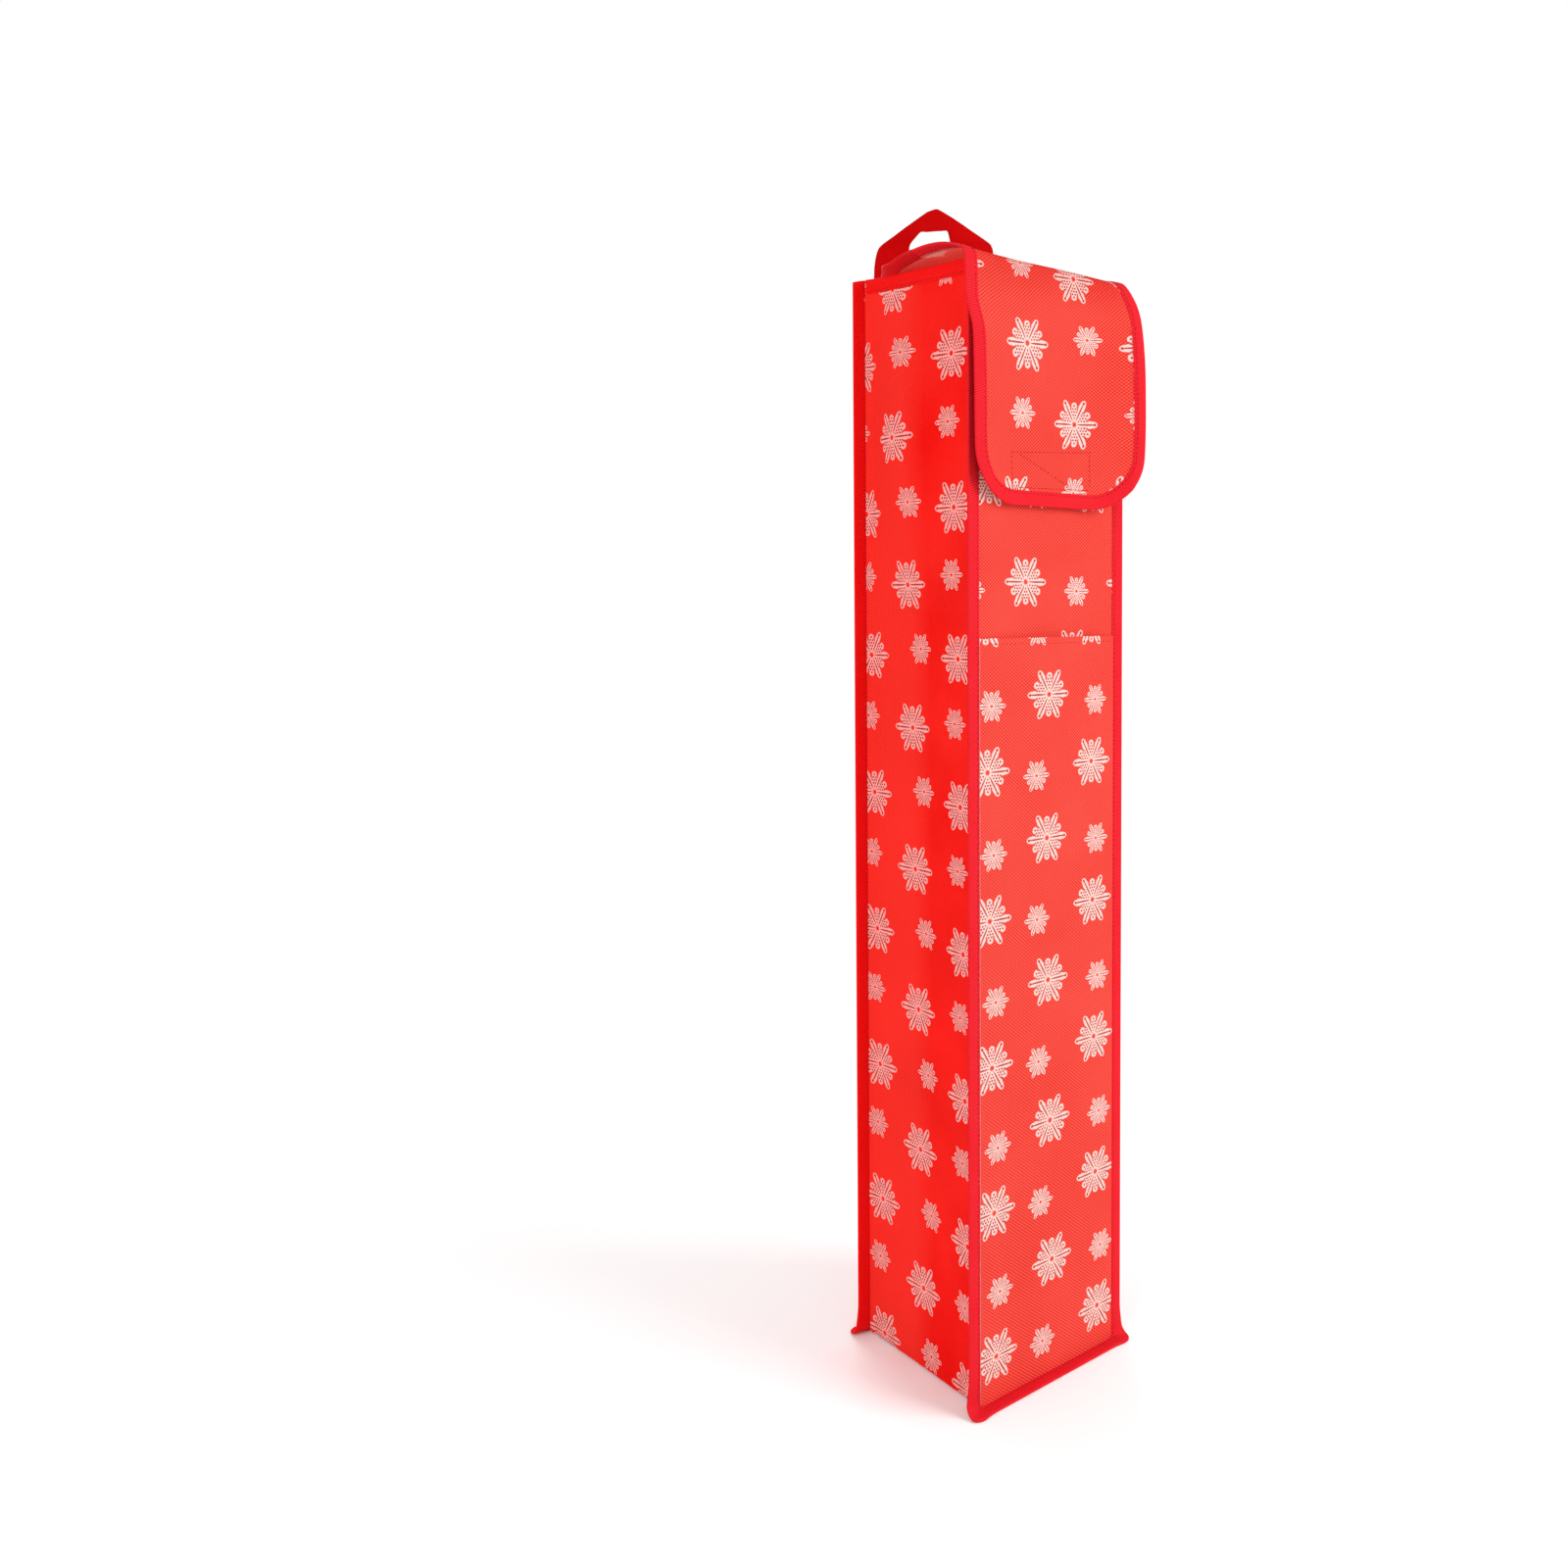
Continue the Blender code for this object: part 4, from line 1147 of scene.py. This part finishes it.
def make_pocket():
    """The pocket's layer on the lower front, hemmed at its mouth."""
    fold = math.pi * HEM_FOLD
    rows = (stops(LOWEST_ROW, POCKET_TOP, CLOTH_STEP)[:-1]
            + stops(POCKET_TOP, POCKET_TOP + fold, fold / HEM_TURNS)[:-1]
            + stops(POCKET_TOP + fold, POCKET_TOP + fold + HEM, FOLD_STEP))
    cloth = sheet("pocket_cloth", stops(-HALF_WIDTH, HALF_WIDTH, CLOTH_STEP), rows, pocket_place, flat,
                  Vector((0, -1, 0)), [FRONT_PRINT, INNER], print_uv=pocket_print)
    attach(cloth, "bag")
    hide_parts("pocket_panel")
    row = (lambda run, inset: pocket_place(run, POCKET_MOUTH - inset),
           -HEM_ROW_HALF, HEM_ROW_HALF, HEM_ROW_INSET, HEM_ROW_LIFT)
    thread = stitches("pocket_hem_stitches", [row], THREAD_RED)
    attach(thread, "bag")
    return cloth, thread


# The stitches along a tape: how far in from its fold, how high, and where a row starts
STITCH_INSET = TAPE_WIDTH - 0.0022
STITCH_LIFT = TAPE_HALF * 0.62
STITCH_START = 0.002


def both_faces(surface, start, end, inset=STITCH_INSET, lift=STITCH_LIFT):
    """A row of stitches on each face of a tape."""
    return [(surface, start, end, inset, lift), (surface, start, end, inset, -lift)]


# A bound corner is eased in over a run, and never gets tighter than the least radius
LEAST_CORNER = 0.0006
CORNER_EASE = 0.020


def edge_length(straight, corner):
    """The length of an edge that runs down the left, round two corners and up the right."""
    return 2 * straight + math.pi * corner + 2 * (FLAP_HALF - corner)


def bound_edge(run, inset, straight, corner):
    """The place across and down at a run along such an edge, and inset from it."""
    arc = math.pi / 2 * corner
    side = -1
    if run > edge_length(straight, corner) / 2:
        side, run = 1, edge_length(straight, corner) - run
    share = min(inset / TAPE_WIDTH, 1.0)
    radius = max(corner - inset, corner * (1 - share) + LEAST_CORNER * share)
    turn_across = FLAP_HALF - inset - radius
    turn_down = straight + corner - inset - radius
    if run <= straight:
        near = max(0.0, 1 - (straight - run) / CORNER_EASE)
        return side * (FLAP_HALF - inset), run + (turn_down - straight) * near
    if run <= straight + arc:
        angle = (run - straight) / corner
        return side * (turn_across + radius * math.cos(angle)), turn_down + radius * math.sin(angle)
    rest = run - straight - arc
    near = max(0.0, 1 - rest / CORNER_EASE)
    across = FLAP_HALF - corner - rest + (turn_across - FLAP_HALF + corner) * near
    return side * across, straight + corner - inset


FLAP_STRAIGHT = FLAP_LENGTH - FLAP_CORNER - SPLIT


def flap_edge(run, inset):
    """The flap's outline from the split on its left edge, round its end, to the right edge."""
    across, down = bound_edge(run, inset, FLAP_STRAIGHT, FLAP_CORNER)
    return long_cloth(across, SPLIT + down)


COVER_TAPE_START = 0.005


def cover_edge(side):
    """The long cloth's edge along the first half of the cover."""
    return lambda run, inset: long_cloth(side * (FLAP_HALF - inset), run)


# The mouth's tape goes from the left rear round the front to the right rear
MOUTH_TAPE = 0.0120
MOUTH_STITCH_INSET = MOUTH_TAPE - 0.0020
MOUTH_CORNER = 0.003
MOUTH_REAR = HALF_DEPTH - 0.0035
MOUTH_FRONT = FRONT_FACE + 0.0004
MOUTH_STRAIGHT = MOUTH_REAR + HALF_DEPTH - MOUTH_CORNER - 0.0006
MOUTH_LENGTH = 2 * MOUTH_STRAIGHT + math.pi * MOUTH_CORNER + 2 * (SIDE_FACE - MOUTH_CORNER)


def mouth_edge(run, inset):
    """The top edge of the left side, the front and the right side, run from the left rear."""
    arc = math.pi / 2 * MOUTH_CORNER
    side = -1
    if run > MOUTH_LENGTH / 2:
        side, run = 1, MOUTH_LENGTH - run
    if run <= MOUTH_STRAIGHT:
        y = MOUTH_REAR - run
        x = abs(side_cloth(side, y, MOUTH - inset).x)
    elif run <= MOUTH_STRAIGHT + arc:
        angle = (run - MOUTH_STRAIGHT) / MOUTH_CORNER
        x = SIDE_FACE - MOUTH_CORNER * (1 - math.cos(angle))
        y = MOUTH_FRONT + MOUTH_CORNER * (1 - math.sin(angle))
    else:
        x = SIDE_FACE - MOUTH_CORNER - (run - MOUTH_STRAIGHT - arc)
        y = MOUTH_FRONT
    return Vector((side * x, y, mouth_top(side, y) - inset))


# A panel's seam rises off the floor by what its bend takes up; the rear one laps further in,
# and its top ends slant to meet the mouth's tape
SEAM_RISE = FOOT_LIFT + (FOOT_BEND + CORNER_BEND) * (1 - math.pi / 4)
PANEL_CORNER = 0.008
FOOT_RUN = 0.030
REAR_TOP = 0.9095
REAR_LAP = 0.0010
REAR_SLANT = 0.0038
SLANT_SHARE = 0.35
SLANT_RUN = 0.030


def panel_seams(name, face, top, material, lap=0.0, slant=0.0):
    """The tape up both sides of a panel and along its foot, and its stitches."""
    straight = top - SEAM_RISE + TAPE_WIDTH - PANEL_CORNER
    length = edge_length(straight, PANEL_CORNER)

    def surface(run, inset):
        across, down = bound_edge(run, inset, straight, PANEL_CORNER)
        down -= slant * (inset / TAPE_WIDTH - SLANT_SHARE) * ramp(min(run, length - run), SLANT_RUN, 0)
        return panel_edge(face, across, top - SEAM_RISE - down)

    foot = straight - FOOT_RUN
    rows = (stops(0, foot, 2 * TAPE_STEP)[:-1] + stops(foot, length - foot, TAPE_STEP / 2)[:-1]
            + stops(length - foot, length, 2 * TAPE_STEP))
    tape = fold_tape(name + "_tape", surface, rows, material, width=TAPE_WIDTH + lap)
    thread = stitches(name + "_stitches", both_faces(surface, STITCH_START, length - STITCH_START),
                      THREAD_RED)
    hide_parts(name + "_left_binding", name + "_right_binding", name + "_bottom_binding")
    for piece in (tape, thread):
        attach(piece, "bag")
    return tape, thread


def make_tapes():
    """Every length of binding tape, with its stitches."""
    pieces = {"front": panel_seams("front", -1, FRONT_SEAM_TOP, TAPE_RED),
              "back": panel_seams("back", 1, REAR_TOP, SEAM_RED, REAR_LAP, REAR_SLANT)}
    for side, name in ((-1, "cover_left"), (1, "cover_right")):
        surface = cover_edge(side)
        tape = fold_tape(name + "_tape", surface, stops(COVER_TAPE_START, SPLIT, TAPE_STEP), COVER_SHADED_RED)
        thread = stitches(name + "_stitches",
                          both_faces(surface, COVER_TAPE_START + STITCH_START, SPLIT), THREAD_RED)
        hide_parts("flap_" + name + "_binding")
        pieces[name] = (tape, thread)
    length = edge_length(FLAP_STRAIGHT, FLAP_CORNER)
    tape = fold_tape("flap_tape", flap_edge, stops(0, length, TAPE_STEP), TAPE_RED)
    thread = stitches("flap_stitches", both_faces(flap_edge, 0, length), THREAD_RED)
    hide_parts("flap_front_binding")
    pieces["flap"] = (tape, thread)
    tape = fold_tape("mouth_tape", mouth_edge, stops(0, MOUTH_LENGTH, TAPE_STEP), SEAM_RED, MOUTH_TAPE)
    thread = stitches("mouth_stitches", both_faces(mouth_edge, STITCH_START, MOUTH_LENGTH - STITCH_START,
                                                   MOUTH_STITCH_INSET), THREAD_RED)
    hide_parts("mouth_left_binding", "mouth_front_binding", "mouth_right_binding")
    for piece in (tape, thread):
        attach(piece, "bag")
    pieces["mouth"] = (tape, thread)
    return pieces


# The fastening: each strip's pile, how far it stands off its cloth, and its thread's places
HOOK_PILE, HOOK_STAND = 0.0011, 0.0013
LOOP_PILE, LOOP_STAND = 0.0012, 0.0014
STRIP_MARGIN = 0.0022
HOOK_THREAD_LIFT = -0.0014
OUTER_THREAD_LIFT = 0.0001
INNER_THREAD_LIFT = -0.0022
PROBE = 0.001

# The stitches that hold the loop strip show on the outside of the flap, as (across, down) places
FLAP_BOX = [(-0.0455, 0.3074), (0.0388, 0.3018), (0.0400, 0.3325), (-0.0440, 0.3345)]
FLAP_CROSS = [(-0.0380, 0.3075), (0.0100, 0.3275), (0.0200, 0.3335)]


def hook_place(x, z):
    """The hook strip's face, just off the front panel."""
    return front_cloth(x, z) + Vector((0, drift(x, HOOK_LEVEL, z, *HOOK_WAVES) - HOOK_STAND, 0))


def make_fastening():
    """The hook strip on the front and the loop strip inside the flap, each sewn round its edge."""
    half = hook_high.x
    columns = stops(-half, half, STRIP_STEP)
    hook = sheet("hook_strip_pile", columns, stops(hook_low.z, hook_high.z, STRIP_STEP), hook_place,
                 flat, Vector((0, -1, 0)), [HOOK_RED], HOOK_PILE)
    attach(hook, "bag")
    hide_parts("hook_strip")
    low = FLAP_LENGTH - (loop_high.z - FLAP_END)
    high = FLAP_LENGTH - (loop_low.z - FLAP_END)

    def inside(x, s, lift):
        return lifted(lambda run, inset: long_cloth(inset, run), s, x, lift)

    probe = inside(0, low, PROBE) - long_cloth(0, low)
    inward = 1 if probe.y > 0 else -1
    loop = sheet("loop_strip_pile", columns, stops(low, high, STRIP_STEP),
                 lambda x, s: inside(x, s, inward * (CLOTH + LOOP_STAND)), flat,
                 Vector((0, 1, 0)), [LOOP_RED], LOOP_PILE)
    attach(loop, "flap_front")
    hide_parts("loop_strip")
    corners = box_corners(STRIP_MARGIN - half, half - STRIP_MARGIN,
                          hook_low.z + STRIP_MARGIN, hook_high.z - STRIP_MARGIN)
    hook_thread = stitches("hook_strip_stitches", seam_rows(front_cloth, corners, HOOK_THREAD_LIFT),
                           THREAD_RED)
    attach(hook_thread, "bag")
    box = FLAP_BOX + FLAP_BOX[:1]
    rows = (seam_rows(long_cloth, box, OUTER_THREAD_LIFT)
            + seam_rows(long_cloth, FLAP_CROSS, OUTER_THREAD_LIFT)
            + seam_rows(long_cloth, box, INNER_THREAD_LIFT))
    flap_thread = stitches("loop_strip_stitches", rows, THREAD_RED)
    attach(flap_thread, "flap_front")
    return (hook, hook_thread), (loop, flap_thread)


# The handle's outer and inner edges, as (x, z), from its left sewn end to its right one
HANDLE_OUTER = [
    (-0.0620, left_end_low.z), (-0.0620, 0.8900), (-0.0618, 0.9050), (-0.0612, 0.9170), (-0.0605, 0.9270),
    (-0.0578, 0.9385), (-0.0532, 0.9455), (-0.0400, 0.9557), (-0.0268, 0.9660), (-0.0050, 0.9823),
    (0.0004, 0.9855), (0.0064, 0.9880), (0.0114, 0.9877), (0.0283, 0.9830), (0.0480, 0.9763),
    (0.0672, 0.9697), (0.0712, 0.9665), (0.0730, 0.9610), (0.0737, 0.9400), (0.0740, 0.9050),
    (0.0740, 0.8900), (0.0740, left_end_low.z)]
HANDLE_INNER = [
    (-0.0250, left_end_low.z), (-0.0250, 0.8900), (-0.0250, 0.9050), (-0.0250, 0.9200), (-0.0249, 0.9340),
    (-0.0246, 0.9440), (-0.0236, 0.9500), (-0.0215, 0.9536), (-0.0180, 0.9575), (-0.0107, 0.9647),
    (-0.0030, 0.9664), (0.0058, 0.9686), (0.0125, 0.9701), (0.0195, 0.9716), (0.0215, 0.9685),
    (0.0228, 0.9640), (0.0240, 0.9590), (0.0265, 0.9480), (0.0300, 0.9320), (0.0355, 0.9050),
    (0.0360, 0.8900), (0.0360, left_end_low.z)]

# The webbing, and how it lies: against the back panel where it is sewn, leaning off above
WEBBING_WIDTH, WEBBING_LENGTH, WEBBING = 0.038, 0.300, 0.0017
STRAP_FACE = 0.0757
STRAP_STAND, STRAP_STAND_HALF = 0.0026, 0.006
STRAP_LEAN = 0.017
STRAP_COLUMNS = 12
STRAP_ROW_SHARE = 0.2
SEWN_MARGIN = 0.0030
HANDLE_THREAD_LIFT = 0.0009


def strap_place(x, z):
    """A place on the middle of the strap's thickness."""
    top = left_end_high.z
    stand = STRAP_STAND * ramp(z, top - STRAP_STAND_HALF, top + STRAP_STAND_HALF)
    return Vector((x, STRAP_FACE + stand + STRAP_LEAN * max(0.0, z - top), z))


def make_handle():
    """The webbing handle: two sewn legs, drawn together into a folded grip."""
    outer, inner = Profile(HANDLE_OUTER), Profile(HANDLE_INNER)
    count = len(HANDLE_OUTER) - 1
    outer_shares, inner_shares = outer.place_shares(count), inner.place_shares(count)

    def between(shares, t):
        k = min(int(t), count - 1)
        return min(shares[k] + (shares[k + 1] - shares[k]) * (t - k), 1.0)

    def place(across, t):
        near, far = inner.at(between(inner_shares, t)), outer.at(between(outer_shares, t))
        return strap_place(*near.lerp(far, across))

    strap = sheet("handle_strap_webbing", stops(0, 1, 1 / STRAP_COLUMNS), stops(0, count, STRAP_ROW_SHARE),
                  place, lambda across, t: (t / count * outer.length, across * WEBBING_WIDTH),
                  Vector((0, 1, 0)), [WEBBING_RED], WEBBING, offset=0)
    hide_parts("handle_strap", "handle_left_end", "handle_right_end")
    rows = []
    low, high = left_end_low.z + SEWN_MARGIN, left_end_high.z - 2 * SEWN_MARGIN
    for start, end in ((left_end_low, left_end_high), (right_end_low, right_end_high)):
        left, right = start.x + SEWN_MARGIN, end.x - SEWN_MARGIN
        for corners in (box_corners(left, right, low, high), [(left, low), (right, high)],
                        [(left, high), (right, low)]):
            rows += seam_rows(strap_place, corners, HANDLE_THREAD_LIFT)
    thread = stitches("handle_stitches", rows, THREAD_RED)
    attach(thread, "bag")
    return strap, thread


front = make_front()
back = make_back()
flap = make_flap()
sides = make_sides()
pocket, hem_thread = make_pocket()
tapes = make_tapes()
(hook, hook_thread), (loop, loop_thread) = make_fastening()
handle, handle_thread = make_handle()

# Cloth that crosses the folds
BACK_FOLD = ((0, 0.0735, 0.8965), (0, 0.0600, 0.9085))
FRONT_FOLD = ((0, -0.0600, 0.9120), (0, -0.0800, 0.8930))
HANDLE_BEND = ((0, 0.0780, 0.9030), (0, 0.0780, 0.9130))
for piece in (back, *tapes["cover_left"], *tapes["cover_right"]):
    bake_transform(piece, "bag", "flap_cover", *BACK_FOLD)
for piece in (flap, *tapes["flap"]):
    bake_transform(piece, "flap_cover", "flap_front", *FRONT_FOLD)
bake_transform(handle, "bag", "handle", *HANDLE_BEND)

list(tapes["front"])
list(tapes["back"])
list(tapes["cover_left"])
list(tapes["cover_right"])
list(tapes["flap"])
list(tapes["mouth"])

# Floor, lamps and camera
FLOOR_SIZE = 12
FLOOR_LEVEL = -0.0002
FLOOR_NEAR, FLOOR_FADE = 0.35, 0.9
SKY_LIGHT = 0.62
LAMPS = [("key", (1.3, -2.2, 1.7), 0.45, 1.6, 62),
         ("fill", (-2.4, -0.6, 1.3), 0.45, 1.6, 30),
         ("back_fill", (0.8, 2.2, 1.8), 0.5, 1.8, 30)]
CAMERA_PLACE = (-0.72596, -0.84257, 0.64008)
CAMERA_YAW = math.radians(42.07)
CAMERA_PITCH = math.radians(2.5)
FOCAL_PIXELS = 1331.98
PHOTO_PIXELS = 1600
SENSOR = 36.0
SHIFT = (-0.15, -0.08)
CLIP_END = 20


def make_floor():
    """A pale floor that fades to pure white away from the bag."""
    bpy.ops.object.select_all(action="DESELECT")
    bpy.ops.mesh.primitive_plane_add(size=FLOOR_SIZE, location=(0, 0, FLOOR_LEVEL))
    floor = bpy.context.object
    floor.name = "floor"
    material, tree, shader, coordinates = new_material("pale_floor", 0.9, 0.1)
    shader.inputs["Base Color"].default_value = (0.96, 0.96, 0.96, 1)
    reach = vectors(tree, "LENGTH", coordinates.outputs["Object"], output=1)
    far = maths(tree, "DIVIDE", maths(tree, "SUBTRACT", reach, FLOOR_NEAR), FLOOR_FADE, clamp=True)
    path = tree.nodes.new("ShaderNodeLightPath")
    white = tree.nodes.new("ShaderNodeEmission")
    white.inputs["Strength"].default_value = 1.0
    both = tree.nodes.new("ShaderNodeMixShader")
    tree.links.new(maths(tree, "MULTIPLY", far, path.outputs["Is Camera Ray"]), both.inputs[0])
    tree.links.new(shader.outputs[0], both.inputs[1])
    tree.links.new(white.outputs[0], both.inputs[2])
    tree.links.new(both.outputs[0], tree.nodes["Material Output"].inputs["Surface"])
    floor.data.materials.append(material)


def make_lamp(name, place, aim, size, power):
    """A square lamp that points at a height on the bag's middle line."""
    lamp = bpy.data.lights.new(name, "AREA")
    lamp.shape = "RECTANGLE"
    lamp.size = lamp.size_y = size
    lamp.energy = power
    obj = bpy.data.objects.new(name, lamp)
    bpy.context.collection.objects.link(obj)
    obj.location = place
    obj.rotation_euler = (Vector((0, 0, aim)) - Vector(place)).to_track_quat("-Z", "Y").to_euler()


def make_world():
    """White where the camera sees it, and a softer light on the bag."""
    world = bpy.data.worlds.new("studio")
    bpy.context.scene.world = world
    world.use_nodes = True
    tree = world.node_tree
    background = tree.nodes["Background"]
    path = tree.nodes.new("ShaderNodeLightPath")
    colour = mixed(tree, path.outputs["Is Camera Ray"], (SKY_LIGHT, SKY_LIGHT, SKY_LIGHT, 1), (1, 1, 1, 1))
    tree.links.new(colour, background.inputs["Color"])
    background.inputs["Strength"].default_value = 1.0


def make_camera():
    """The camera that took the picture."""
    data = bpy.data.cameras.new("camera")
    data.sensor_width = SENSOR
    data.lens = SENSOR * FOCAL_PIXELS / PHOTO_PIXELS
    data.shift_x, data.shift_y = SHIFT
    data.clip_end = CLIP_END
    camera = bpy.data.objects.new("camera", data)
    bpy.context.collection.objects.link(camera)
    camera.location = CAMERA_PLACE
    camera.rotation_euler = (math.pi / 2 - CAMERA_PITCH, 0, -CAMERA_YAW)
    bpy.context.scene.camera = camera


make_floor()
make_world()
for lamp in LAMPS:
    make_lamp(*lamp)
make_camera()
bpy.context.scene.view_settings.view_transform = "Standard"
